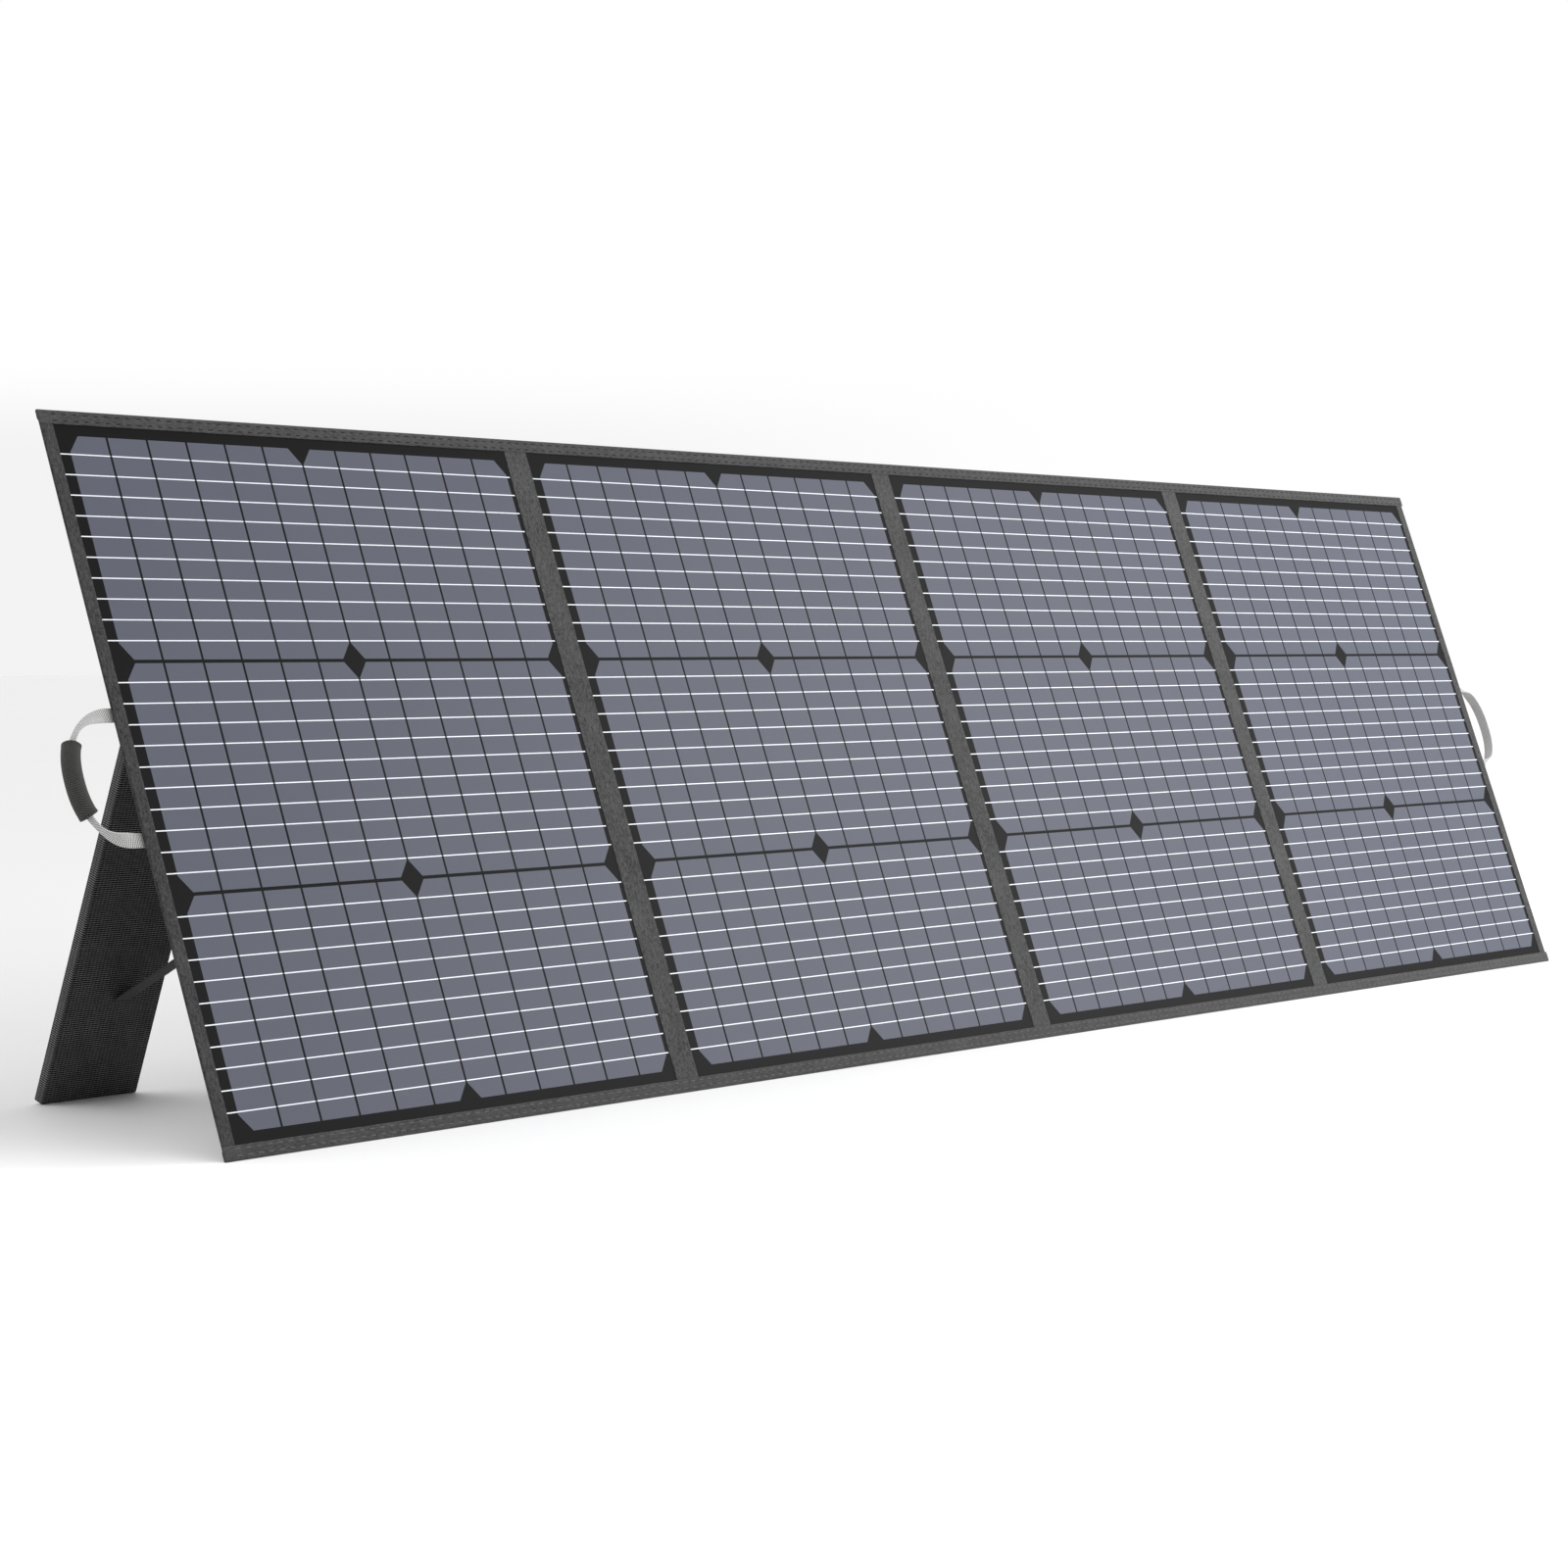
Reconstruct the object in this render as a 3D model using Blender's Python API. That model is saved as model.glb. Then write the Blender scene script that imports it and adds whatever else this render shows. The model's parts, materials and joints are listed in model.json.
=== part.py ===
"""A four-leaf folding solar panel for camping, standing on two fabric-covered legs.

Every leaf is modelled in its own plane: x runs along the row of leaves, y points
out of the back, and z runs up the leaf. The empty "stand" leans that plane back
and puts the lowest edge on the ground. Units are metres.
"""

import math

import bmesh
import bpy
from mathutils import Vector

MM = 0.001

# Leaves
PITCH = 529 * MM  # from one fold line to the next
HALF_HEIGHT = 294.5 * MM
LEAN = math.radians(20.17)
FOLD_GAP = 0.3 * MM  # each leaf stops this far from its fold line
SIDE_INSET = {1: 2.1 * MM, 4: 0.4 * MM}  # by leaf: the outer edges stop this far short of two pitches
HEM_OVERHANG = {1: 0.4 * MM, 4: 1.8 * MM}  # by leaf: the hems stick out past the outer edges
BAND = 14 * MM  # fabric between a fold line and the window
HEM = 11.4 * MM  # fabric above and below the window
LAP = 2 * MM  # the laminate reaches this far under the fabric
HEM_TAPE = 0.6 * MM  # thickness of the tape round the edge
HEM_TURN = 8.1 * MM  # how far the tape comes down the back
TRAY_WALL = 0.6 * MM
FLANGE_SHORT = 1.0 * MM  # from the flange's edge to the leaf's edge

# Depths of the layers, from the front face of the fabric to the back
HEM_FRONT = -0.6 * MM
FABRIC = (0.0, 0.6 * MM)
RIBBON = (0.9 * MM, 1.05 * MM)
CELL = (1.35 * MM, 1.6 * MM)
LAMINATE = (1.9 * MM, 2.5 * MM)
BOARD = (2.8 * MM, 4.0 * MM)
BACK = (4.3 * MM, 4.9 * MM)
FLANGE = (0.9 * MM, 1.5 * MM)
HEM_BACK = (1.8 * MM, 2.4 * MM)
CLEAR = 0.3 * MM
VALLEY_AXIS = -0.9 * MM  # depth of the folds that bring two fronts together
RIDGE_AXIS = 5.2 * MM  # depth of the fold that brings two backs together

# Cells
ROWS = 3
COLUMNS = 2
ROW_PITCH = 184 * MM
COLUMN_PITCH = 243.9 * MM
CELL_SIZE = (242.1 * MM, 181.5 * MM)
CELL_CHAMFER = (11.1 * MM, 13.3 * MM)
CELL_SHIFT = 2.9 * MM  # the cells sit to the right of the window's middle
RIBBONS_PER_ROW = 10
RIBBON_WIDTH = 1.2 * MM
RIBBON_SHORT = 1.3 * MM  # from a ribbon's free end to the fabric
BUS = (0.5 * MM, 1.7 * MM)  # the busbar's edges, outside the window's left edge

# Legs
LEG_CENTRE = 874.2 * MM
LEG_WIDTH = 101.6 * MM
LEG_DEPTH = 10.3 * MM
LEG_LENGTH = 511 * MM  # from the fold axis to the foot
LEG_AXIS_UP = 511.5 * MM  # the fold axis, above the leaf's bottom edge
LEG_AXIS_BACK = 6.5 * MM
LEG_FACE = 1.9 * MM  # from the fold axis to the leg's front face
LEG_TOP = 3 * MM  # from the fold axis to the top of the leg
LEG_SKIN = 0.8 * MM
HINGE_STRIP = (28 * MM, 0.8 * MM)  # height and thickness
CUT_CORNER = (3 * MM, 3 * MM)  # on sewn-on strips and patches
BOARD_CORNER = (4 * MM, 4 * MM)

# The strap that stops a leg
STRAP_WIDTH = 18 * MM
STRAP_THICK = 1.2 * MM
STRAP_OFFSET = 8.2 * MM  # from the leg's middle, towards the middle of the row
STRAP_LEG_UP = 88 * MM  # above the foot, along the leg
STRAP_LEAF_UP = 226 * MM  # above the leaf's bottom edge
STRAP_TAB = 22 * MM  # sewn to the leaf
STRAP_BEND = 2 * MM  # from the bend to where the strap is straight
STRAP_END = 2.5 * MM  # the strap is cut off this far before it meets the leg

# Handles
HANDLE_RISE = 2.2 * MM  # the handle's middle, above the leaf's middle
HANDLE_HALF = 49 * MM  # from the handle's middle to the middle of each end
HANDLE_REACH = 46 * MM
HANDLE_POWER = 2.3  # the loop is a superellipse
HANDLE_BACK = 8.5 * MM  # depth of the middle of the loop
HANDLE_START = 0.006  # turning angle at which the webbing leaves the edge
HANDLE_TWIST = 0.8  # share of the reach at which the webbing stands on edge
WEBBING = (11.4 * MM, 1.2 * MM)
GRIP_HALF = 27.4 * MM  # half of the grip's length, along z
GRIP_SIZE = (15.4 * MM, 13.6 * MM)
GRIP_FLAT = 0.41  # share of the grip's width and thickness that its flats take up
PATCH = (30 * MM, 118 * MM, 0.8 * MM)
PATCH_INSET = 10 * MM  # from the leaf's outer edge to the patch; the webbing's sewn ends cross it
PATCH_BACK = 5.2 * MM

# Junction box, on the back of the first leaf
BOX_CENTRE = (-670 * MM, 60 * MM)
BOX_SIZE = (96 * MM, 64 * MM)
BOX_BACK = 5.2 * MM
BOX_DEPTH = 14 * MM
BOX_WALL = 2 * MM
BOX_LID = 3 * MM
LID_ROUND = 0.8 * MM
SOCKET_RADIUS = 7 * MM
SOCKET_TIP = 6 * MM
SOCKET_OFF = 1 * MM  # from the socket to the box's back wall
SOCKET_BORE = 4.6 * MM
SOCKET_LENGTH = 13 * MM
SOCKET_DEPTH = 10 * MM

LOW = -HALF_HEIGHT
HIGH = HALF_HEIGHT


def clear_scene():
    for obj in list(bpy.data.objects):
        bpy.data.objects.remove(obj)


def material(name, colour, roughness, metallic=0.0):
    made = bpy.data.materials.new(name)
    made.use_nodes = True
    shader = made.node_tree.nodes["Principled BSDF"]
    shader.inputs["Base Color"].default_value = (*colour, 1.0)
    shader.inputs["Roughness"].default_value = roughness
    shader.inputs["Metallic"].default_value = metallic
    return made


def add_object(name, mesh_data, look, parent):
    mesh = bpy.data.meshes.new(name)
    bmesh.ops.recalc_face_normals(mesh_data, faces=mesh_data.faces)
    mesh_data.to_mesh(mesh)
    mesh_data.free()
    mesh.materials.append(look)
    obj = bpy.data.objects.new(name, mesh)
    bpy.context.scene.collection.objects.link(obj)
    obj.parent = parent
    return obj


def add_empty(name, location=(0, 0, 0), tilt=0.0, parent=None):
    obj = bpy.data.objects.new(name, None)
    bpy.context.scene.collection.objects.link(obj)
    obj.location = location
    obj.rotation_euler = (tilt, 0, 0)
    obj.parent = parent
    return obj


def row_frame(name, axis, parent):
    """An empty on a joint's axis, and inside it one back at the row's origin, which is returned."""
    pivot = add_empty(f"{name}_axis", axis, parent=parent)
    return add_empty(f"{name}_frame", [-value for value in axis], parent=pivot)


def blocks(name, boxes, look, parent):
    """One closed body: the union of boxes, each ((x0, x1), (y0, y1), (z0, z1))."""
    grid = [sorted({round(side, 7) for box in boxes for side in box[axis]}) for axis in range(3)]

    def span(axis, side):
        first, last = (grid[axis].index(round(value, 7)) for value in side)
        return range(first, last)

    filled = set()
    for box in boxes:
        for i in span(0, box[0]):
            for j in span(1, box[1]):
                filled.update((i, j, k) for k in span(2, box[2]))
    mesh = bmesh.new()
    corner = {}

    def vertex(place):
        if place not in corner:
            corner[place] = mesh.verts.new([grid[axis][place[axis]] for axis in range(3)])
        return corner[place]

    for cell in filled:
        for axis in range(3):
            for step in (0, 1):
                beyond = list(cell)
                beyond[axis] += 2 * step - 1
                if tuple(beyond) in filled:
                    continue
                across, along = (axis + 1) % 3, (axis + 2) % 3
                ring = []
                for a, b in ((0, 0), (1, 0), (1, 1), (0, 1)):
                    place = list(cell)
                    place[axis] += step
                    place[across] += a
                    place[along] += b
                    ring.append(vertex(tuple(place)))
                mesh.faces.new(ring if step else ring[::-1])
    return add_object(name, mesh, look, parent)


def slab(name, outline, depth, look, parent):
    """A flat plate: an outline of (x, z) points, between two depths along y."""
    mesh = bmesh.new()
    front = [mesh.verts.new((x, depth[0], z)) for x, z in outline]
    back = [mesh.verts.new((x, depth[1], z)) for x, z in outline]
    mesh.faces.new(front)
    mesh.faces.new(back[::-1])
    for i in range(len(outline)):
        j = (i + 1) % len(outline)
        mesh.faces.new((front[i], back[i], back[j], front[j]))
    return add_object(name, mesh, look, parent)


def rectangle(x0, x1, z0, z1, corner=(0.0, 0.0)):
    """A rectangle's outline, with its corners cut off by corner's x and z lengths."""
    cx, cz = corner
    if not cx:
        return [(x0, z0), (x1, z0), (x1, z1), (x0, z1)]
    return [
        (x0 + cx, z0), (x1 - cx, z0), (x1, z0 + cz), (x1, z1 - cz),
        (x1 - cx, z1), (x0 + cx, z1), (x0, z1 - cz), (x0, z0 + cz),
    ]


def band(name, stations, size, look, parent, hollow=None):
    """A flat band swept along stations of (place, across, out). hollow, the size of a hole, makes it a sleeve."""
    mesh = bmesh.new()
    flat = ((-1, -1), (1, -1), (1, 1), (-1, 1))
    share = GRIP_FLAT
    eight = [(-1, -share), (-share, -1), (share, -1), (1, -share), (1, share), (share, 1), (-share, 1), (-1, share)]

    def ring(place, across, out, width, thick, corners):
        return [
            mesh.verts.new(place + across * (a * width / 2) + out * (b * thick / 2))
            for a, b in corners
        ]

    def skin(rings):
        for first, second in zip(rings, rings[1:]):
            for i in range(len(first)):
                j = (i + 1) % len(first)
                mesh.faces.new((first[i], first[j], second[j], second[i]))

    if hollow is None:
        outer = [ring(*station, *size, flat) for station in stations]
        skin(outer)
        mesh.faces.new(outer[0])
        mesh.faces.new(outer[-1])
    else:
        outer = [ring(*station, *size, eight) for station in stations]
        skin(outer)
        # The hole's ring has the sleeve's eight points, brought onto a rectangle.
        slot = [(a, math.copysign(1, b)) for a, b in eight]
        inner = [ring(*station, *hollow, slot) for station in stations]
        skin(inner)
        for end in (0, -1):
            for i in range(len(eight)):
                j = (i + 1) % len(eight)
                mesh.faces.new((outer[end][i], outer[end][j], inner[end][j], inner[end][i]))
    return add_object(name, mesh, look, parent)


def turned(name, profile, centre, look, parent, steps=24):
    """A round piece: a profile of (radius, z) points turned about a line along z through centre."""
    mesh = bmesh.new()
    rings = []
    for radius, z in profile:
        count = steps if radius else 1
        angles = [2 * math.pi * i / steps for i in range(count)]
        rings.append([
            mesh.verts.new((centre[0] + radius * math.cos(a), centre[1] + radius * math.sin(a), z))
            for a in angles
        ])
    for first, second in zip(rings, rings[1:]):
        for i in range(steps):
            j = (i + 1) % steps
            ring = [first[i % len(first)], first[j % len(first)]]
            ring += [second[j % len(second)], second[i % len(second)]]
            mesh.faces.new(dict.fromkeys(ring))
    return add_object(name, mesh, look, parent)


def leaf_edges(leaf):
    """(left, right) of a leaf's fabric, and which of them is an outer edge."""
    left, right = (leaf - 3) * PITCH, (leaf - 2) * PITCH
    return (
        left + (SIDE_INSET[leaf] if leaf == 1 else FOLD_GAP),
        right - (SIDE_INSET[leaf] if leaf == 4 else FOLD_GAP),
    )


def window(leaf):
    return (leaf - 3) * PITCH + BAND, (leaf - 2) * PITCH - BAND


def front_border(leaf, look, parent):
    """The fabric round the window, with its top and bottom edges turned over as hems."""
    left, right = leaf_edges(leaf)
    inner_left, inner_right = window(leaf)
    hem_left = left - (HEM_OVERHANG[leaf] if leaf == 1 else 0)
    hem_right = right + (HEM_OVERHANG[leaf] if leaf == 4 else 0)
    boxes = [
        ((left, inner_left), FABRIC, (LOW, HIGH)),
        ((inner_right, right), FABRIC, (LOW, HIGH)),
    ]
    for sign in (-1, 1):
        across = (hem_left, hem_right)
        for reach, depth in (
            (HEM, (HEM_FRONT, FABRIC[1])),
            (HEM_TAPE, (HEM_FRONT, HEM_BACK[1])),
            (HEM_TURN, HEM_BACK),
        ):
            heights = sorted((sign * HIGH, sign * (HIGH - reach)))
            boxes.append((across, depth, heights))
    return blocks(f"front_border_{leaf}", boxes, look, parent)


def back_cover(leaf, look, parent):
    """A shallow fabric tray behind the board, with a flange that is sewn to the border."""
    left, right = leaf_edges(leaf)
    inner_left, inner_right = window(leaf)
    wall_in = LAP + CLEAR
    wall_out = wall_in + TRAY_WALL
    top = HIGH - HEM
    flange_top = HIGH - FLANGE_SHORT
    tray = ((inner_left - wall_out, inner_right + wall_out), (-top - wall_out, top + wall_out))
    hole = ((inner_left - wall_in, inner_right + wall_in), (-top - wall_in, top + wall_in))
    boxes = [(tray[0], BACK, tray[1])]
    wall = (FLANGE[0], BACK[1])
    boxes += [
        ((tray[0][0], hole[0][0]), wall, tray[1]),
        ((hole[0][1], tray[0][1]), wall, tray[1]),
        (tray[0], wall, (tray[1][0], hole[1][0])),
        (tray[0], wall, (hole[1][1], tray[1][1])),
        ((left, tray[0][0]), FLANGE, (-flange_top, flange_top)),
        ((tray[0][1], right), FLANGE, (-flange_top, flange_top)),
        ((left, right), FLANGE, (-flange_top, tray[1][0])),
        ((left, right), FLANGE, (tray[1][1], flange_top)),
    ]
    return blocks(f"back_cover_{leaf}", boxes, look, parent)


def inner_sheet(name, leaf, depth, look, parent):
    left, right = window(leaf)
    top = HIGH - HEM + LAP
    outline = rectangle(left - LAP, right + LAP, -top, top)
    return slab(name, outline, depth, look, parent)


def cells(leaf, look, parent):
    middle = sum(window(leaf)) / 2 + CELL_SHIFT
    for row in range(ROWS):
        for column in range(COLUMNS):
            x = middle + (column - (COLUMNS - 1) / 2) * COLUMN_PITCH
            z = ((ROWS - 1) / 2 - row) * ROW_PITCH
            width, height = CELL_SIZE
            outline = rectangle(
                x - width / 2, x + width / 2, z - height / 2, z + height / 2, CELL_CHAMFER
            )
            letter = "abcdef"[row * COLUMNS + column]
            slab(f"cell_{leaf}_{letter}", outline, CELL, look, parent)


def ribbon_grid(leaf, look, parent):
    """The ribbons that run across the cells, joined by a busbar under the left border."""
    left, right = window(leaf)
    bus = (left - BUS[1], left - BUS[0])
    step = ROW_PITCH / (RIBBONS_PER_ROW + 1)
    heights = [
        (row - (ROWS - 1) / 2) * ROW_PITCH - ROW_PITCH / 2 + step * (i + 1)
        for row in range(ROWS)
        for i in range(RIBBONS_PER_ROW)
    ]
    half = RIBBON_WIDTH / 2
    boxes = [(bus, RIBBON, (min(heights) - half, max(heights) + half))]
    boxes += [((bus[0], right - RIBBON_SHORT), RIBBON, (z - half, z + half)) for z in heights]
    return blocks(f"ribbon_grid_{leaf}", boxes, look, parent)


def leg_opening():
    """The angle between an open leg and its leaf that puts the foot on the ground."""
    axis_height = (
        ground_lift() + LEG_AXIS_UP * math.cos(LEAN) - LEG_AXIS_BACK * math.sin(LEAN)
    )
    reach = math.hypot(LEG_LENGTH, LEG_FACE)
    return LEAN - math.atan2(LEG_FACE, LEG_LENGTH) + math.acos(axis_height / reach)


def ground_lift():
    """The height of a leaf's front bottom corner, when the back of its hem is on the ground."""
    return HEM_BACK[1] * math.sin(LEAN)


def leg(leaf, side, looks, parent):
    """A leg: a board in a fabric sleeve, folding on a strip sewn to the back of the leaf."""
    x = side * LEG_CENTRE
    axis_z = LOW + LEG_AXIS_UP
    pivot = add_empty(f"leg_{leaf}_axis", (x, LEG_AXIS_BACK, axis_z), leg_opening(), parent)
    half = LEG_WIDTH / 2
    depth = (LEG_FACE, LEG_FACE + LEG_DEPTH)
    inside = (depth[0] + LEG_SKIN, depth[1] - LEG_SKIN)
    ends = (-LEG_LENGTH, -LEG_TOP)
    wide = (-half, half)
    boxes = [
        (wide, (depth[0], inside[0]), ends),
        (wide, (inside[1], depth[1]), ends),
        ((-half, -half + LEG_SKIN), depth, ends),
        ((half - LEG_SKIN, half), depth, ends),
        (wide, depth, (ends[0], ends[0] + LEG_SKIN)),
    ]
    blocks(f"leg_{leaf}_cover", boxes, looks["leg_fabric"], pivot)
    gap = LEG_SKIN + CLEAR
    board = rectangle(-half + gap, half - gap, ends[0] + gap, ends[1] - gap, BOARD_CORNER)
    board_depth = (depth[0] + gap, depth[1] - gap)
    slab(f"leg_{leaf}_board", board, board_depth, looks["board"], pivot)
    strip = rectangle(x - half, x + half, axis_z, axis_z + HINGE_STRIP[0], CUT_CORNER)
    strip_depth = (BACK[1] + CLEAR, BACK[1] + CLEAR + HINGE_STRIP[1])
    slab(f"leg_{leaf}_hinge_strip", strip, strip_depth, looks["leg_fabric"], parent)
    leg_strap(leaf, side, looks["strap"], parent)


def leg_strap(leaf, side, look, parent):
    """A taut strap from the leg's front face to the back of the leaf, both ends cut flush."""
    angle = leg_opening()
    up_leg = LEG_LENGTH - STRAP_LEG_UP
    clear = CLEAR + STRAP_THICK / 2
    leg_down = Vector((0, math.sin(angle), -math.cos(angle)))
    leg_out = Vector((0, math.cos(angle), math.sin(angle)))
    axis = Vector((0, LEG_AXIS_BACK, LOW + LEG_AXIS_UP))
    on_leg = axis + leg_down * up_leg + leg_out * (LEG_FACE - clear)
    on_leaf = Vector((0, BACK[1] + clear, LOW + STRAP_LEAF_UP))
    x = Vector((side * (LEG_CENTRE - STRAP_OFFSET), 0, 0))
    along = (on_leg - on_leaf).normalized()
    across = Vector((1, 0, 0))
    square = along.cross(across)
    down = Vector((0, 0, -1))
    flat = down.cross(across)
    turn = (along + down).normalized().cross(across)
    stations = [
        (x + on_leaf - down * STRAP_TAB, across, flat),
        (x + on_leaf - down * STRAP_BEND, across, flat),
        (x + on_leaf + along * STRAP_BEND, across, turn.lerp(square, 0.5).normalized()),
        (x + on_leg - along * STRAP_END, across, square),
    ]
    return band(f"leg_{leaf}_strap", stations, (STRAP_WIDTH, STRAP_THICK), look, parent)


def loop_stations(side, edge, start, count):
    """Stations along the loop, from a turning angle near its top end to the same one near the bottom."""
    bow = 2 / HANDLE_POWER
    flat = PATCH_BACK + PATCH[2] / 2
    places = []
    for i in range(count + 1):
        turn = start + (math.pi - 2 * start) * i / count
        z = HANDLE_HALF * math.copysign(abs(math.cos(turn)) ** bow, math.cos(turn))
        out = HANDLE_REACH * abs(math.sin(turn)) ** bow + CLEAR
        blend = min(out / (HANDLE_TWIST * HANDLE_REACH), 1.0)
        blend = blend * blend * (3 - 2 * blend)
        back = flat + (HANDLE_BACK - flat) * blend
        places.append((Vector((edge + side * out, back, z + HANDLE_RISE)), blend))
    stations = []
    for i, (place, blend) in enumerate(places):
        before = places[max(i - 1, 0)][0]
        after = places[min(i + 1, count)][0]
        along = (after - before).normalized()
        back = Vector((0, 1, 0))
        in_plane = along.cross(back).normalized()
        turn = blend * math.pi / 2
        # The webbing lies flat at its ends and stands on edge in the middle of the loop.
        across = in_plane * math.cos(turn) + side * back * math.sin(turn)
        out = along.cross(across).normalized()
        stations.append((place, across, out))
    return stations


def handle(leaf, side, looks, parent, grip):
    """A loop of webbing on an outer edge, and the patch on the back that it is sewn to."""
    edge = side * (2 * PITCH - SIDE_INSET[leaf])
    loop = row_frame(f"handle_{leaf}", (edge, PATCH_BACK + PATCH[2] / 2, HANDLE_RISE), parent)
    stations = loop_stations(side, edge, HANDLE_START, 44)
    band(f"handle_{leaf}_webbing", stations, WEBBING, looks["webbing"], loop)
    if grip:
        lift = math.acos((GRIP_HALF / HANDLE_HALF) ** (HANDLE_POWER / 2))
        stations = loop_stations(side, edge, lift, 14)
        hole = (WEBBING[0] + 2 * CLEAR, WEBBING[1] + 2 * CLEAR)
        band(f"handle_{leaf}_grip", stations, GRIP_SIZE, looks["grip"], loop, hole)
    outer = PATCH_INSET
    inner = outer + PATCH[0]
    half, tail = PATCH[1] / 2, WEBBING[0] / 2
    cut_x, cut_z = CUT_CORNER
    steps = [(inner, cut_z - half), (inner - cut_x, -half), (outer + cut_x, -half), (outer, cut_z - half)]
    for middle in (-HANDLE_HALF, HANDLE_HALF):
        steps += [(outer, middle - tail), (0, middle - tail), (0, middle + tail), (outer, middle + tail)]
    steps += [(outer, half - cut_z), (outer + cut_x, half), (inner - cut_x, half), (inner, half - cut_z)]
    outline = [(edge - side * inward, HANDLE_RISE + up) for inward, up in steps]
    depth = (PATCH_BACK, PATCH_BACK + PATCH[2])
    slab(f"handle_{leaf}_anchor_patch", outline, depth, looks["fabric"], parent)


def junction_box(looks, parent):
    """A flat box on the back cover, with a lid and a round output socket."""
    (cx, cz), (width, height) = BOX_CENTRE, BOX_SIZE
    x0, x1, z0, z1 = cx - width / 2, cx + width / 2, cz - height / 2, cz + height / 2
    back = BOX_BACK + BOX_DEPTH
    floor = (BOX_BACK, BOX_BACK + BOX_WALL)
    wall = (BOX_BACK, back)
    boxes = [
        ((x0, x1), floor, (z0, z1)),
        ((x0, x0 + BOX_WALL), wall, (z0, z1)),
        ((x1 - BOX_WALL, x1), wall, (z0, z1)),
        ((x0, x1), wall, (z0, z0 + BOX_WALL)),
        ((x0, x1), wall, (z1 - BOX_WALL, z1)),
    ]
    blocks("junction_box_base", boxes, looks["plastic"], parent)
    outline = rectangle(x0, x1, z0, z1, BOARD_CORNER)
    depth = (back + CLEAR, back + CLEAR + BOX_LID)
    lid = slab("junction_box_lid", outline, depth, looks["plastic"], parent)
    bevel = lid.modifiers.new("edge", "BEVEL")
    bevel.width = LID_ROUND
    bevel.segments = 2
    mouth = z0 - CLEAR - SOCKET_LENGTH
    profile = [
        (0, z0 - CLEAR),
        (SOCKET_RADIUS, z0 - CLEAR),
        (SOCKET_TIP, mouth),
        (SOCKET_BORE, mouth),
        (SOCKET_BORE, mouth + SOCKET_DEPTH),
        (0, mouth + SOCKET_DEPTH),
    ]
    centre = (cx, BOX_BACK + SOCKET_RADIUS + SOCKET_OFF)
    turned("output_socket", profile, centre, looks["socket"], parent)


def build():
    clear_scene()
    looks = {
        "fabric": material("heather_fabric", (0.08, 0.08, 0.08), 0.85),
        "leg_fabric": material("ribbed_fabric", (0.013, 0.013, 0.014), 0.8),
        "laminate": material("laminate", (0.015, 0.015, 0.015), 0.4),
        "cell": material("cell", (0.15, 0.155, 0.2), 0.35),
        "ribbon": material("ribbon", (0.85, 0.86, 0.88), 0.3, 0.6),
        "board": material("board", (0.25, 0.22, 0.18), 0.8),
        "strap": material("strap", (0.027, 0.027, 0.027), 0.6),
        "webbing": material("webbing", (0.58, 0.58, 0.58), 0.8),
        "grip": material("grip", (0.045, 0.045, 0.045), 0.7),
        "plastic": material("box_plastic", (0.02, 0.02, 0.02), 0.5),
        "socket": material("socket", (0.01, 0.01, 0.01), 0.4),
    }
    leg_foot_back = (
        LEG_AXIS_UP * math.sin(LEAN)
        + LEG_AXIS_BACK * math.cos(LEAN)
        + LEG_LENGTH * math.sin(leg_opening() - LEAN)
        + (LEG_FACE + LEG_DEPTH) * math.cos(leg_opening() - LEAN)
    )
    leaf_front = HEM_FRONT * math.cos(LEAN)
    centre_y = (leg_foot_back + leaf_front) / 2
    stand = add_empty(
        "stand",
        (0, HALF_HEIGHT * math.sin(LEAN) - centre_y, ground_lift() + HALF_HEIGHT * math.cos(LEAN)),
        -LEAN,
    )
    frames = {2: stand}
    frames[1] = row_frame("fold_12", (-PITCH, VALLEY_AXIS, 0), stand)
    frames[3] = row_frame("fold_23", (0, RIDGE_AXIS, 0), stand)
    frames[4] = row_frame("fold_34", (PITCH, VALLEY_AXIS, 0), frames[3])
    for leaf, frame in sorted(frames.items()):
        front_border(leaf, looks["fabric"], frame)
        ribbon_grid(leaf, looks["ribbon"], frame)
        cells(leaf, looks["cell"], frame)
        inner_sheet(f"laminate_{leaf}", leaf, LAMINATE, looks["laminate"], frame)
        inner_sheet(f"stiffener_board_{leaf}", leaf, BOARD, looks["board"], frame)
        back_cover(leaf, looks["fabric"], frame)
    for leaf, side in ((1, -1), (4, 1)):
        leg(leaf, side, looks, frames[leaf])
        handle(leaf, side, looks, frames[leaf], grip=leaf == 1)
    junction_box(looks, frames[1])


build()
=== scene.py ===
"""Looks for the folding solar panel: cloth, cells, webbing and trim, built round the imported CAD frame.

Most pieces are made in the leaf's own coordinates: x along the row, y out of the back, z up the leaf.
Every made mesh has a UV map called "cloth", in metres, that its weave follows.
"""

import json
import math

import bmesh
import bpy
from mathutils import Matrix, Vector, noise


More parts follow.
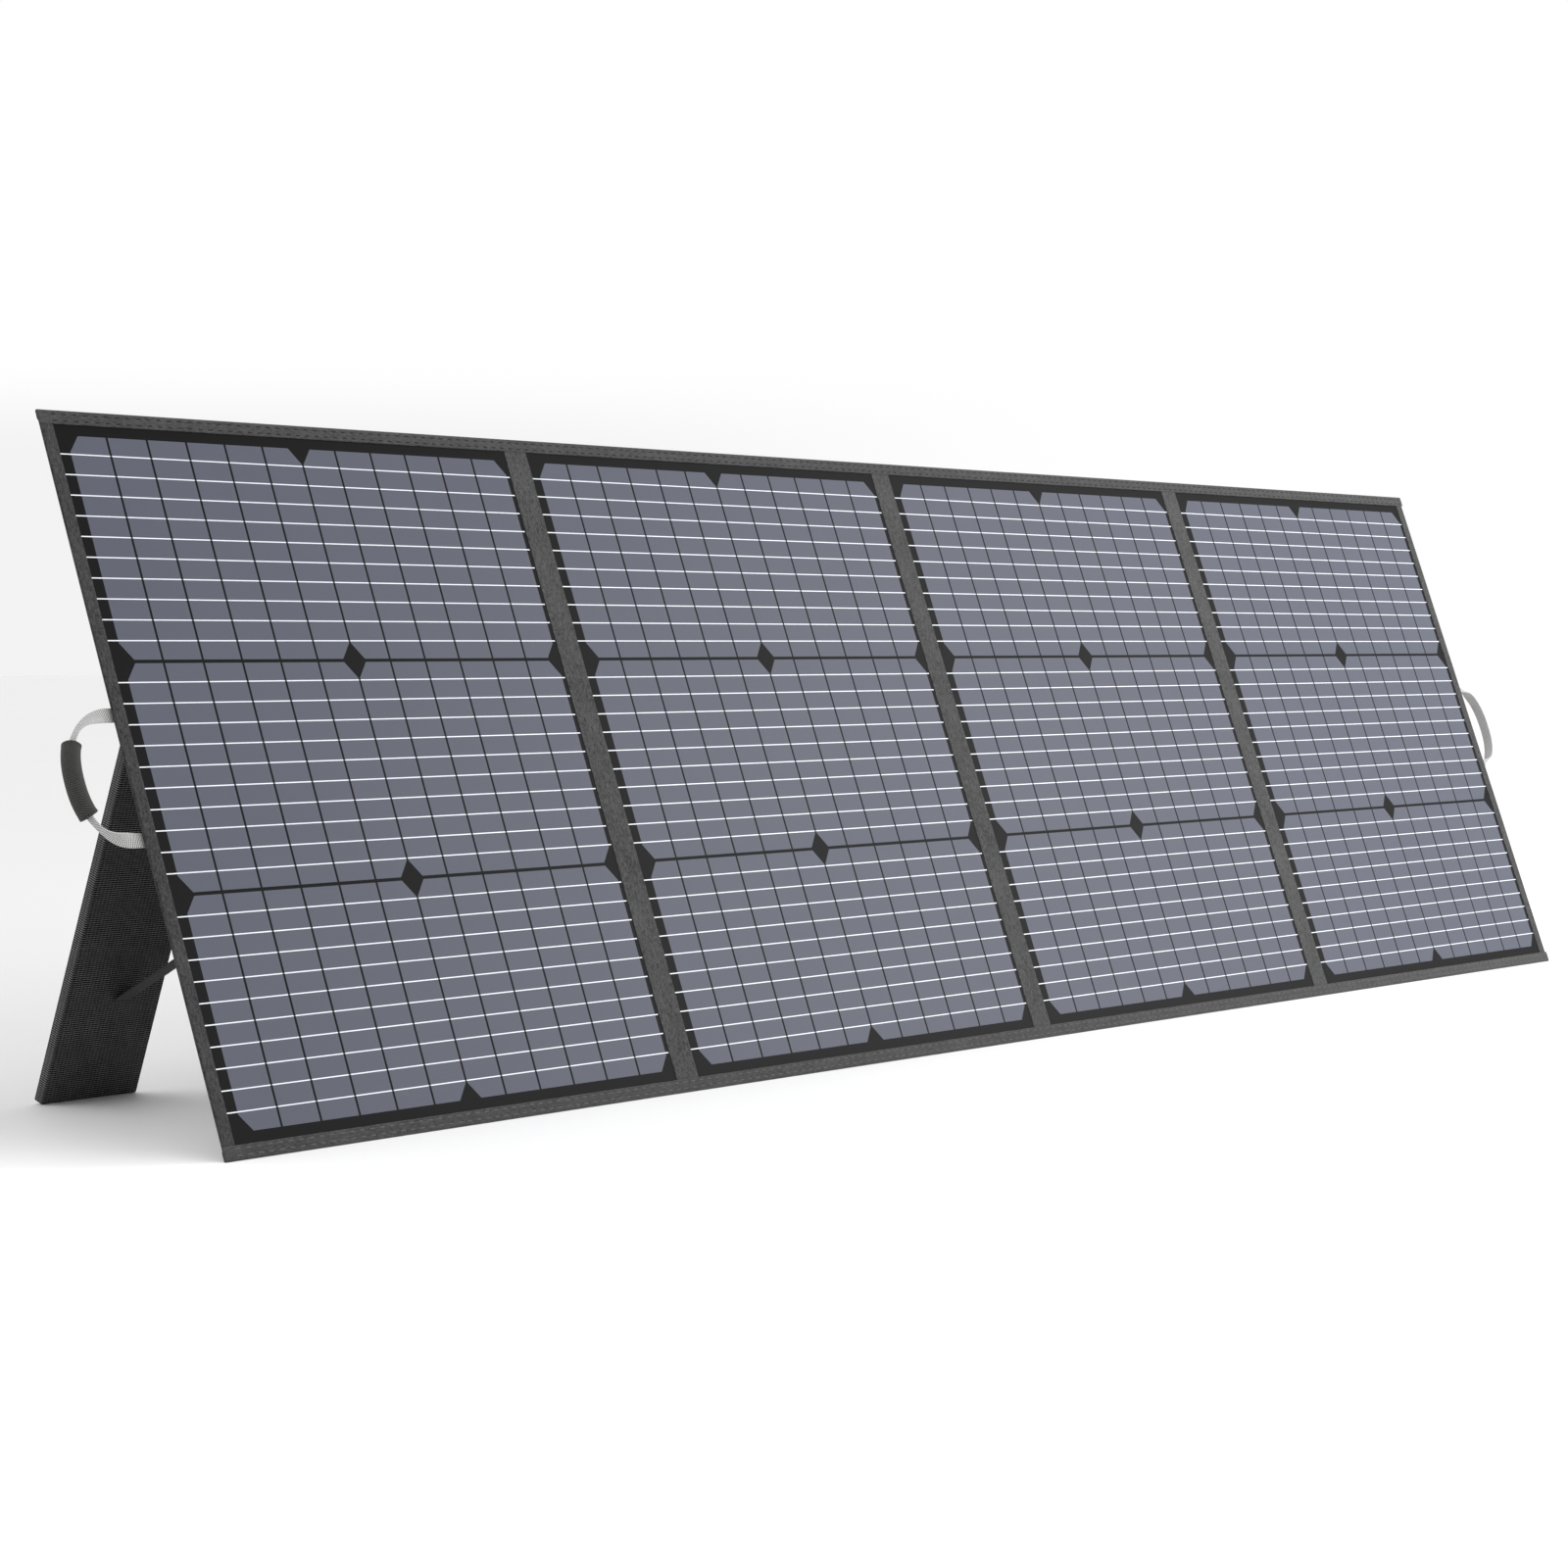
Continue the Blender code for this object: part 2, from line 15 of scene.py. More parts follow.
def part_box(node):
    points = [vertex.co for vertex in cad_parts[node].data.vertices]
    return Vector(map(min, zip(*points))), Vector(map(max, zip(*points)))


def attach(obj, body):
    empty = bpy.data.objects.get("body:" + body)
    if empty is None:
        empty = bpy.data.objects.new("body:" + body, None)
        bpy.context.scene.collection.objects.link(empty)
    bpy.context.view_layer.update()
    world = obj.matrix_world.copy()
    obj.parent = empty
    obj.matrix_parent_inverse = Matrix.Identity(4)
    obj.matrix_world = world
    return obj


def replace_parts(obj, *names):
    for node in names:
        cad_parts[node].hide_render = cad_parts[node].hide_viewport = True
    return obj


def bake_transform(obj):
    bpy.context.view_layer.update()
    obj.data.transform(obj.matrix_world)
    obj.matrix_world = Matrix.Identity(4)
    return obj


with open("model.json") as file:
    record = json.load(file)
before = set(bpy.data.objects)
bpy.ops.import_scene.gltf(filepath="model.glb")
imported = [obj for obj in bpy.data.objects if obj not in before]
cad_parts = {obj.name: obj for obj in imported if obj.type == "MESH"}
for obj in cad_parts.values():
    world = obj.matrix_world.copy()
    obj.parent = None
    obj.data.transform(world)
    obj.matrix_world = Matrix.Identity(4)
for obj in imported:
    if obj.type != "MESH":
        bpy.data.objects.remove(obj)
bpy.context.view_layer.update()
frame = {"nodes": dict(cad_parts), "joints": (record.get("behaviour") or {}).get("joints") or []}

MM = 0.001
X, Y, Z = Vector((1, 0, 0)), Vector((0, 1, 0)), Vector((0, 0, 1))

# Sizes as in the CAD, but the cells are 0.3 mm lower here
PITCH = 529 * MM
HALF = 294.5 * MM
FOLD_GAP = 0.3 * MM  # each leaf stops this far from its fold line
SIDE_INSET = {1: 2.1 * MM, 4: 0.4 * MM}
HEM_OVERHANG = {1: 0.4 * MM, 4: 1.8 * MM}
BAND = 14 * MM
HEM = 11.4 * MM
RIDGE_AXIS = 5.2 * MM
ROW_PITCH = 184 * MM
COLUMN_PITCH = 243.9 * MM
CELL_SIZE = (242.1 * MM, 181.2 * MM)
CELL_CHAMFER = (11.1 * MM, 13.3 * MM)
CELL_SHIFT = 2.9 * MM
STRIPS = 6
STRIP_PITCH = COLUMN_PITCH / STRIPS
STRIP_GAP = 2.2 * MM
RIBBONS_PER_ROW = 10
RIBBON_SHORT = 1.3 * MM
RIBBON_HALF = 0.46 * MM  # half of a ribbon's width
LEG_CENTRE = 874.2 * MM
LEG_WIDTH = 101.6 * MM
LEG_DEPTH = 10.3 * MM
LEG_LENGTH = 511 * MM
LEG_AXIS = (6.5 * MM, 511.5 * MM - HALF)
LEG_OPENING = math.radians(40.433)
LEG_FACE = 1.9 * MM
LEG_TOP = 3 * MM
STRAP_WIDTH = 18 * MM
STRAP_OFFSET = 8.2 * MM
STRAP_LEG_UP = 88 * MM
STRAP_LEAF_UP = 226 * MM
STRAP_CUTS = (0, 0.03, 0.12, 0.4, 0.75, 0.93, 1)  # shares of its length; each stretch is a piece of its own
HANDLE_RISE = 2.2 * MM
HANDLE_HALF = 49 * MM
HANDLE_REACH = 46 * MM
HANDLE_POWER = 2.3
HANDLE_BACK = 8.5 * MM
WEBBING = (11.4 * MM, 1.2 * MM)
GRIP_HALF = 27.4 * MM
GRIP = (15.4 * MM, 13.6 * MM)
OVERTURN = {1: 0.52, 4: 0.0}  # radians that a handle's tape twists further at its lower end
PATCH = (30 * MM, 118 * MM, 0.8 * MM)
PATCH_INSET = 10 * MM
PATCH_BACK = 5.2 * MM
BACK_FACE = 4.9 * MM

# Depths of the surfaces in a leaf's window, just under the front of its fabric
BACKSHEET = 0.42 * MM
CELL_FACE = 0.33 * MM
RIBBON_FACE = 0.25 * MM


def leaf_matrix():
    """Leaf coordinates to the row frame, from the middle fold's axis."""
    fold = next(joint for joint in frame["joints"] if joint["name"] == "fold_23")
    up = Vector(fold["axis"]).normalized()
    back = up.cross(X)
    origin = Vector(fold["pos_m"]) - back * RIDGE_AXIS
    return Matrix.Translation(origin) @ Matrix((X, back, up)).transposed().to_4x4()


LEAF = leaf_matrix()


def leg_matrix(side):
    """A leg's coordinates: z along the leg, y out of its back, the origin on its fold axis."""
    at = Matrix.Translation((side * LEG_CENTRE, *LEG_AXIS))
    return LEAF @ at @ Matrix.Rotation(LEG_OPENING, 4, "X")


# ---- materials


def srgb(*values):
    """A linear colour from 0-255 sRGB values, or from one value for a grey."""
    found = []
    for value in values * (3 // len(values)):
        share = value / 255
        found.append(share / 12.92 if share <= 0.04045 else ((share + 0.055) / 1.055) ** 2.4)
    return (*found, 1.0)


class Nodes:
    """Short calls for the nodes of a tree."""

    def __init__(self, tree):
        self.nodes, self.links = tree.nodes, tree.links

    def feed(self, socket, value):
        if isinstance(value, bpy.types.NodeSocket):
            self.links.new(value, socket)
        else:
            socket.default_value = value

    def node(self, kind, output=0, settings=(), **inputs):
        made = self.nodes.new(kind)
        for key, value in dict(settings).items():
            setattr(made, key, value)
        for key, value in inputs.items():
            self.feed(made.inputs[key.replace("_", " ")], value)
        return made.outputs[output]

    def step(self, kind, operation, *values):
        """The outputs of a node that has an operation, its inputs fed in order."""
        made = self.nodes.new(kind)
        made.operation = operation
        for socket, value in zip(made.inputs, values):
            self.feed(socket, value)
        return made.outputs

    def maths(self, operation, *values):
        return self.step("ShaderNodeMath", operation, *values)[0]

    def times(self, product, *factors):
        for factor in factors:
            product = self.maths("MULTIPLY", product, factor)
        return product

    def between(self, value, low, high):
        """value moved from 0..1 to low..high."""
        return self.maths("MULTIPLY_ADD", value, high - low, low)

    def along(self, place, direction, low, high):
        """0 to 1, smoothly, as place goes from low to high along direction."""
        dot = self.step("ShaderNodeVectorMath", "DOT_PRODUCT", place, direction)["Value"]
        smooth = {"interpolation_type": "SMOOTHSTEP"}
        return self.node("ShaderNodeMapRange", settings=smooth, Value=dot, From_Min=low, From_Max=high)


class Look(Nodes):
    """A material, with short calls for its cloth coordinates and its shader."""

    def __init__(self, name, roughness, **inputs):
        self.material = bpy.data.materials.new(name)
        self.material.use_nodes = True
        super().__init__(self.material.node_tree)
        self.shader = self.nodes["Principled BSDF"]
        self.set("Roughness", roughness)
        for key, value in inputs.items():
            self.set(key.replace("_", " "), value)

    def set(self, name, value):
        self.feed(self.shader.inputs[name], value)

    def cloth(self):
        return self.node("ShaderNodeUVMap", settings={"uv_map": "cloth"})

    def plane(self, scale_u, scale_v, w=0.0):
        """The cloth coordinates, each multiplied by its own scale per metre."""
        scales, shift = (scale_u, scale_v, 1.0), (0.0, 0.0, w)
        return self.step("ShaderNodeVectorMath", "MULTIPLY_ADD", self.cloth(), scales, shift)[0]

    def axes(self):
        """u and v of the cloth coordinates, in metres."""
        made = self.nodes.new("ShaderNodeSeparateXYZ")
        self.feed(made.inputs[0], self.cloth())
        return made.outputs[0], made.outputs[1]

    def noise(self, vector, scale=1.0, detail=2.0, roughness=0.5):
        inputs = {"Vector": vector, "Scale": scale, "Detail": detail, "Roughness": roughness}
        return self.node("ShaderNodeTexNoise", **inputs)

    def wave(self, value, pitch, shift=0.0):
        """A rounded ridge from 0 to 1, once every pitch metres of value."""
        turn = self.maths("MULTIPLY_ADD", value, 2 * math.pi / pitch, shift)
        return self.maths("MULTIPLY_ADD", self.maths("SINE", turn), 0.5, 0.5)

    def ramp(self, value, *stops):
        """A colour ramp of two (place, colour) stops."""
        made = self.nodes.new("ShaderNodeValToRGB")
        self.feed(made.inputs[0], value)
        for element, (place, colour) in zip(made.color_ramp.elements, stops):
            element.position, element.color = place, colour
        return made.outputs[0]

    def tint(self, colour, factor):
        """A colour times a number."""
        scale = {"operation": "SCALE"}
        return self.node("ShaderNodeVectorMath", settings=scale, Vector=colour, Scale=factor)

    def finish(self, colour, height, distance, strength):
        """The material, with its colour and a bump."""
        bump = self.node("ShaderNodeBump", Height=height, Distance=distance, Strength=strength)
        self.set("Base Color", colour)
        self.set("Normal", bump)
        return self.material


def heather(name, dark, light, spread=0.14):
    """Melange polyester: long light and dark flecks along u, in a fine plain weave."""
    look = Look(name, 0.9, Specular_IOR_Level=0.2, Sheen_Weight=0.18, Sheen_Roughness=0.45)
    flecks = look.noise(look.plane(230, 700), detail=2, roughness=0.6)
    crossing = look.noise(look.plane(620, 360, 7.0), detail=1)
    cloud = look.noise(look.plane(26, 40, 3.0), detail=2)
    u, v = look.axes()
    thread = 0.62 * MM
    weave = look.times(look.wave(u, thread), look.wave(v, thread, 1.2))
    tufts = look.noise(look.plane(110, 280, 11.0), detail=1)
    crossing = look.maths("MULTIPLY_ADD", tufts, 0.7, crossing)
    mixed = look.maths("ADD", look.times(flecks, 0.5), look.times(crossing, 0.25))
    mixed = look.maths("ADD", mixed, look.maths("MULTIPLY_ADD", cloud, 0.16, -0.04))
    colour = look.ramp(mixed, (0.49 - spread, dark), (0.49 + spread, light))
    height = look.maths("ADD", weave, look.times(flecks, 0.6))
    return look.finish(colour, height, 0.14 * MM, 0.6)


def ribbed(name, dark, light):
    """Coarse black cloth with ribs across u and finer threads along it."""
    look = Look(name, 0.75, Specular_IOR_Level=0.25, Sheen_Weight=0.05, Sheen_Roughness=0.4)
    u, v = look.axes()
    wander = look.noise(look.plane(60, 120, 2.0), detail=1)
    rib = look.wave(look.maths("MULTIPLY_ADD", wander, 0.4 * MM, u), 1.87 * MM)
    strand = look.wave(v, 1.25 * MM)
    wide = look.wave(v, 3.9 * MM)
    patch = look.noise(look.plane(55, 90, 5.0), detail=3, roughness=0.6)
    shade = look.times(
        look.maths("POWER", rib, 2.7), look.between(strand, 0.65, 1.0), look.between(wide, 0.5, 1.0),
        look.between(patch, 0.5, 1.6),
    )
    colour = look.ramp(shade, (0.04, dark), (0.7, light))
    height = look.maths("ADD", rib, look.times(strand, 0.35))
    return look.finish(colour, height, 0.45 * MM, 0.9)


def webbing(name, dark, light, pitch=1.5 * MM, roughness=0.85):
    """Flat webbing: ribs across u, with a fine check of threads between them."""
    look = Look(name, roughness, Specular_IOR_Level=0.25, Sheen_Weight=0.1)
    u, v = look.axes()
    rib = look.maths("POWER", look.wave(u, pitch), 0.6)
    strand = look.maths("POWER", look.wave(v, 1.3 * MM), 0.5)
    fuzz = look.noise(look.plane(900, 900), detail=2)
    shade = look.times(rib, look.between(strand, 0.5, 1.0), look.between(fuzz, 0.7, 1.3))
    colour = look.ramp(shade, (0.1, dark), (0.9, light))
    height = look.maths("ADD", rib, look.times(strand, 0.6))
    return look.finish(colour, height, 0.3 * MM, 0.8)


def twill(name, dark, light):
    """Dark cloth with a fine diagonal rib."""
    look = Look(name, 0.8, Specular_IOR_Level=0.25, Sheen_Weight=0.15, Sheen_Roughness=0.4)
    u, v = look.axes()
    rib = look.wave(look.maths("ADD", u, look.times(v, 0.8)), 1.25 * MM)
    strand = look.wave(v, 0.8 * MM)
    fleck = look.noise(look.plane(260, 620), detail=3, roughness=0.6)
    shade = look.times(look.between(rib, 0.05, 1.0), look.between(strand, 0.6, 1.0))
    shade = look.times(shade, look.between(fleck, 0.6, 1.4))
    colour = look.ramp(shade, (0.08, dark), (0.9, light))
    height = look.maths("ADD", rib, look.times(strand, 0.4))
    return look.finish(colour, height, 0.22 * MM, 0.8)


def laminated(name, colour, fingers=0.0, roughness=0.42, gloss=0.11):
    """A layer under the clear, finely dimpled front film."""
    look = Look(name, roughness, Specular_IOR_Level=gloss)
    cloud = look.noise(look.plane(9, 9), detail=3)
    tone = look.between(cloud, 0.96, 1.04)
    if fingers:
        u, _ = look.axes()
        line = look.maths("POWER", look.wave(u, 1.35 * MM), 6)
        tone = look.times(tone, look.maths("MULTIPLY_ADD", line, fingers, 1 - fingers / 3))
    colour = look.tint(colour[:3], tone)
    dimples = look.noise(look.plane(1100, 1100, 1.0), detail=1)
    return look.finish(colour, dimples, 0.03 * MM, 0.5)


def thread_look(name, colour):
    look = Look(name, 0.75, Specular_IOR_Level=0.3)
    u, v = look.axes()
    twist = look.wave(look.maths("MULTIPLY_ADD", v, 1.4, u), 0.55 * MM)
    colour = look.tint(colour[:3], look.between(twist, 0.75, 1.15))
    return look.finish(colour, twist, 0.1 * MM, 0.6)


def moulded(name, colour, roughness=0.5):
    """A plain material with a fine grain, for pieces without a cloth map too."""
    look = Look(name, roughness, Specular_IOR_Level=0.45)
    place = look.node("ShaderNodeTexCoord", 3)
    grain = look.noise(place, scale=1500, detail=2)
    cloud = look.noise(place, scale=35, detail=3)
    colour = look.tint(colour[:3], look.between(cloud, 0.85, 1.15))
    look.set("Roughness", look.between(cloud, roughness - 0.08, roughness + 0.1))
    return look.finish(colour, grain, 0.08 * MM, 0.45)


LOOKS = {
    "fabric": heather("heather_polyester", srgb(7), srgb(77)),
    "fabric_side": heather("heather_polyester_side", srgb(6), srgb(66)),
    "fabric_hem": heather("heather_polyester_hem", srgb(22), srgb(75), 0.2),
    "leg": ribbed("ribbed_sleeve", srgb(3, 3, 4), srgb(130, 130, 131)),
    "strap": webbing("strap_tape", srgb(34), srgb(58), 1.1 * MM, 0.8),
    "webbing": webbing("pale_webbing", srgb(80, 80, 81), srgb(220, 220, 219)),
    "grip": twill("grip_twill", srgb(9, 9, 10), srgb(78, 77, 76)),
    "backsheet": laminated("black_backsheet", srgb(12), roughness=0.5, gloss=0.055),
    "cell": laminated("cell_silicon", srgb(83, 86, 97), fingers=0.05, gloss=0.08),
    "ribbon": laminated("tinned_ribbon", srgb(222, 225, 233), roughness=0.35, gloss=0.3),
    # the links across the gaps between strips: the same tinned ribbon, its colour darkened as painted shade for
    # the gaps
    "link": laminated("ribbon_link_painted_shade", srgb(70, 71, 76), roughness=0.4),
    "dark_thread": thread_look("dark_thread", srgb(10)),
    "grey_thread": thread_look("grey_thread", srgb(84, 83, 81)),
    "plastic": moulded("box_polymer", srgb(28, 28, 29)),
    "socket": moulded("socket_polymer", srgb(20), 0.38),
    "screw": moulded("screw_steel", srgb(150, 150, 152), 0.35),
    "board": moulded("core_board", srgb(120, 112, 100), 0.8),
}


# ---- mesh helpers


def add(name, data):
    """A new object in the scene."""
    obj = bpy.data.objects.new(name, data)
    bpy.context.scene.collection.objects.link(obj)
    return obj


def place(name, mesh_data, look, matrix=LEAF, sharp=35):
    """Turns a bmesh into an object in the row frame."""
    bmesh.ops.recalc_face_normals(mesh_data, faces=mesh_data.faces)
    mesh = bpy.data.meshes.new(name)
    mesh_data.to_mesh(mesh)
    mesh_data.free()
    mesh.transform(matrix)
    mesh.shade_smooth()
    mesh.set_sharp_from_angle(angle=math.radians(sharp))
    for each in look if isinstance(look, (list, tuple)) else [look]:
        mesh.materials.append(LOOKS[each])
    return add(name, mesh)


def new_mesh():
    mesh = bmesh.new()
    return mesh, mesh.loops.layers.uv.new("cloth")


def lay(face, layer, spots):
    for loop, spot in zip(face.loops, spots):
        loop[layer].uv = spot


def lay_along(face, layer, u, v):
    """Cloth coordinates that run along two axes: 0 x, 1 y, 2 z."""
    lay(face, layer, [(loop.vert.co[u], loop.vert.co[v]) for loop in face.loops])


def quilt(mesh, layer, grid):
    """The faces between a grid of points."""
    for first, second in zip(grid, grid[1:]):
        for j in range(len(first) - 1):
            lay_along(mesh.faces.new((first[j], second[j], second[j + 1], first[j + 1])), layer, 2, 0)


def loft(mesh, layer, rings, lengths, caps=True):
    """A skin over rings of points: u is a ring's length along the piece, v goes round the ring."""
    rows = [[mesh.verts.new(point) for point in ring] for ring in rings]
    count = len(rings[0])
    around = [0.0]
    for i in range(count):
        around.append(around[-1] + (rings[0][(i + 1) % count] - rings[0][i]).length)
    for i in range(len(rows) - 1):
        for j in range(count):
            k = (j + 1) % count
            face = mesh.faces.new((rows[i][j], rows[i][k], rows[i + 1][k], rows[i + 1][j]))
            lay(face, layer, [
                (lengths[i], around[j]), (lengths[i], around[j + 1]),
                (lengths[i + 1], around[j + 1]), (lengths[i + 1], around[j]),
            ])
    if caps:
        for end in (0, -1):
            ring = rings[end]
            face = mesh.faces.new(rows[end])
            lay(face, layer, [(lengths[end] + (p - ring[0]).length, around[j]) for j, p in enumerate(ring)])


def span(start, end, step, fine=(), fine_step=0.5 * MM, reach=10 * MM):
    """Places from start to end, closer together within reach of each fine place."""
    found = [start]
    while found[-1] < end - 1e-7:
        here = found[-1]
        near = any(abs(here - spot) < reach or here < spot < here + step for spot in fine)
        pace = fine_step if near else step
        if not near:
            for spot in fine:
                if here < spot - reach < here + pace:
                    pace = spot - reach - here + 1e-6
        found.append(min(here + pace, end))
    return found


def wobble(x, z, seed, scale=30.0):
    """A smooth random number from about -1 to 1."""
    return noise.noise(Vector((x * scale, z * scale, seed)))


def stitch(mesh, layer, start, end, out, width=0.5 * MM, height=0.16 * MM):
    """One stitch of thread: a low rounded ridge from start to end, standing out along out."""
    along = end - start
    length = along.length
    along = along.normalized()
    across = along.cross(out).normalized()
    rings, lengths = [], []
    for share, size in ((0.0, 0.25), (0.12, 0.85), (0.5, 1.0), (0.88, 0.85), (1.0, 0.25)):
        centre = start + along * (length * share)
        rings.append([
            centre
            + across * (width / 2 * size * math.cos(turn))
            + out * (height * size * math.sin(turn))
            for turn in (0.0, math.pi / 4, math.pi / 2, 3 * math.pi / 4, math.pi, 1.5 * math.pi)
        ])
        lengths.append(length * share)
    loft(mesh, layer, rings, lengths)


def stitch_line(mesh, layer, start, end, out, pitch=4 * MM, **kind):
    """A row of stitches from start to end, each taking up 0.7 of its pitch."""
    share = 0.7
    length = (end - start).length
    count = max(1, round(length / pitch))
    step = (end - start) / count
    for i in range(count):
        here = start + step * (i + (1 - share) / 2)
        stitch(mesh, layer, here, here + step * share, out, **kind)


def rectangle(x0, x1, z0, z1):
    return [(x0, z0), (x1, z0), (x1, z1), (x0, z1)]


def seam(mesh, layer, x0, z0, x1, z1, y, pitch, out=Y, **kind):
    """A row of stitches at depth y."""
    stitch_line(mesh, layer, Vector((x0, y, z0)), Vector((x1, y, z1)), out, pitch, **kind)


def cross_box(mesh, layer, x0, x1, y, z0, z1):
    """A box of stitches with a cross in it, facing backwards."""
    a, b, c, d = (Vector((x, y, z)) for x, z in rectangle(x0, x1, z0, z1))
    for start, end in ((a, b), (b, c), (c, d), (d, a), (a, c), (b, d)):
        stitch_line(mesh, layer, start, end, Y, 3 * MM)


def riding(body, slot, name, mesh, look, *nodes, **kind):
    """A piece that rides on a body, in place of the CAD nodes that are given."""
    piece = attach(place(name, mesh, look, **kind), body)
    if nodes:
        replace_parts(piece, *nodes)


# ---- leaves

LEAVES = (1, 2, 3, 4)


def leaf_edges(leaf):
    left, right = (leaf - 3) * PITCH, (leaf - 2) * PITCH
    return left + (SIDE_INSET[1] if leaf == 1 else FOLD_GAP), right - (SIDE_INSET[4] if leaf == 4 else FOLD_GAP)


def window(leaf):
    return (leaf - 3) * PITCH + BAND, (leaf - 2) * PITCH - BAND


def panel(leaf):
    return f"panel_{leaf}"


def bend(piece, first, second, x0, x1):
    """Bakes piece's place into its mesh; first, second, x0 and x1 are not used."""
    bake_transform(piece)


def fold_blend(piece, leaf, fold):
    """piece at the fold between a leaf and the next one, at x = fold: bend only bakes its place into its mesh.
    """
    reach = FOLD_REACH[leaf]
    bend(piece, panel(leaf), panel(leaf + 1), fold - reach, fold + reach)


FOLD_REACH = {1: 2.6 * MM, 2: 9 * MM, 3: 2.6 * MM}  # the middle fold turns round both backs
HEM_SWELL = 0.6  # mm that the turned cloth stands out past its fold
HEM_ROWS = (-3.0 * MM, -8.3 * MM)  # heights of the two rows of stitches, from the leaf's edge
STITCH_PITCH = 10.58 * MM


def hem_profile(sign, x):
    """The section of a turned-over hem at x, as (y, z) from front to back, puckered by its stitching."""
    waver = 0.22 * MM * wobble(x, sign, 1.0, 60)
    front = [
        (0.35, -11.35), (-0.15, -11.5), (-0.42, -11.3), (-0.54, -10.4), (-0.46, -9.1), (-0.58, -7.6),
        (-0.62, -6.1), (-0.58, -4.5), (-0.46, -3.1), (-0.56, -1.9), (-0.5, -1.0), (-0.15, -0.3),
        (0.5, -0.02), (1.3, -0.02), (2.0, -0.35), (2.36, -1.1), (2.42, -2.4), (2.3, -3.1),
        (2.42, -4.4), (2.4, -6.6), (2.28, -7.9), (1.7, -8.1), (1.2, -7.0), (0.8, -9.8),
    ]
    section = []
    for y, z in front:
        low = min(1.0, max(0.0, (-z - 8.0) / 3.0))
        section.append((y * MM, sign * (HALF + (z + HEM_SWELL) * MM + waver * low)))
    return section


def hem_pieces():
    """The top and bottom hems, each in five lengths that meet at the middles of the leaves."""
    ends = [2 * PITCH - SIDE_INSET[leaf] + HEM_OVERHANG[leaf] for leaf in (1, 4)]
    cuts = [-ends[0], -1.5 * PITCH, -0.5 * PITCH, 0.5 * PITCH, 1.5 * PITCH, ends[1]]
    for word, sign in (("top", 1), ("bottom", -1)):
        for i in range(5):
            start, end = cuts[i], cuts[i + 1]
            fold = (i - 2) * PITCH
            fine = [fold] if 0 < i < 4 else []
            places = span(start, end, 5 * MM, fine)
            mesh, layer = new_mesh()
            rings = [[Vector((x, y, z)) for y, z in hem_profile(sign, x)] for x in places]
            loft(mesh, layer, rings, places, caps=i in (0, 4))
            hem = place(f"hem_{word}_{i + 1}", mesh, "fabric_hem", sharp=60)

            mesh, layer = new_mesh()
            for number in range(math.ceil(start / STITCH_PITCH), math.floor(end / STITCH_PITCH)):
                for row, height in enumerate(HEM_ROWS):
                    x = (number + 0.25) * STITCH_PITCH
                    z = sign * (HALF + height)
                    spot = Vector((x, -0.47 * MM, z))
                    stitch(mesh, layer, spot, spot + X * (0.5 * STITCH_PITCH), -Y, 1.2 * MM, 0.24 * MM)
                    behind = Vector((x, 2.34 * MM, sign * (HALF - 3.1 * MM - row * 3.2 * MM)))
                    stitch(mesh, layer, behind, behind + X * (0.52 * STITCH_PITCH), Y, 0.6 * MM)
            thread = "dark_thread" if sign > 0 else "grey_thread"
            stitches = place(f"hem_{word}_{i + 1}_stitching", mesh, thread)
            for piece in (hem, stitches):
                if fine:
                    fold_blend(piece, i, fold)
                else:
                    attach(piece, panel(1 if i == 0 else 4))
            if not fine:
                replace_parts(hem, f"front_border_{1 if i == 0 else 4}")


def strip_section(left, right, outer=0):
    """The section of an upright band of cloth at left..right, as (x, y). outer is -1 or 1 at a free edge."""
    back = 1.75 * MM
    if not outer:
        return [
            (left, 0.45 * MM), (left + 0.05 * MM, 0.12 * MM), (left + 0.3 * MM, 0),
            *[(left + (right - left) * i / 56, 0) for i in range(1, 56)],
            (right - 0.3 * MM, 0), (right - 0.05 * MM, 0.12 * MM), (right, 0.45 * MM),
            (right - 0.6 * MM, back),
            *[(right - (right - left) * i / 56, back) for i in range(1, 56)],
            (left + 0.6 * MM, back),
        ]
    free, inner = (right, left) if outer > 0 else (left, right)
    turn = 1.1 * MM
    squash = 0.55
    steps = 10
    section = [(inner, 0.45 * MM), (inner + outer * 0.1 * MM, 0.08 * MM), (inner + outer * 0.4 * MM, 0)]
    section += [(inner + (free - inner) * i / 6, 0) for i in range(1, 6)]
    for i in range(steps + 1):
        angle = math.pi * i / steps
        section.append((free + outer * turn * squash * (math.sin(angle) - 1), turn - turn * math.cos(angle)))
    section += [(free - outer * 3 * MM, 2 * turn), (inner, 2 * turn)]
    return section


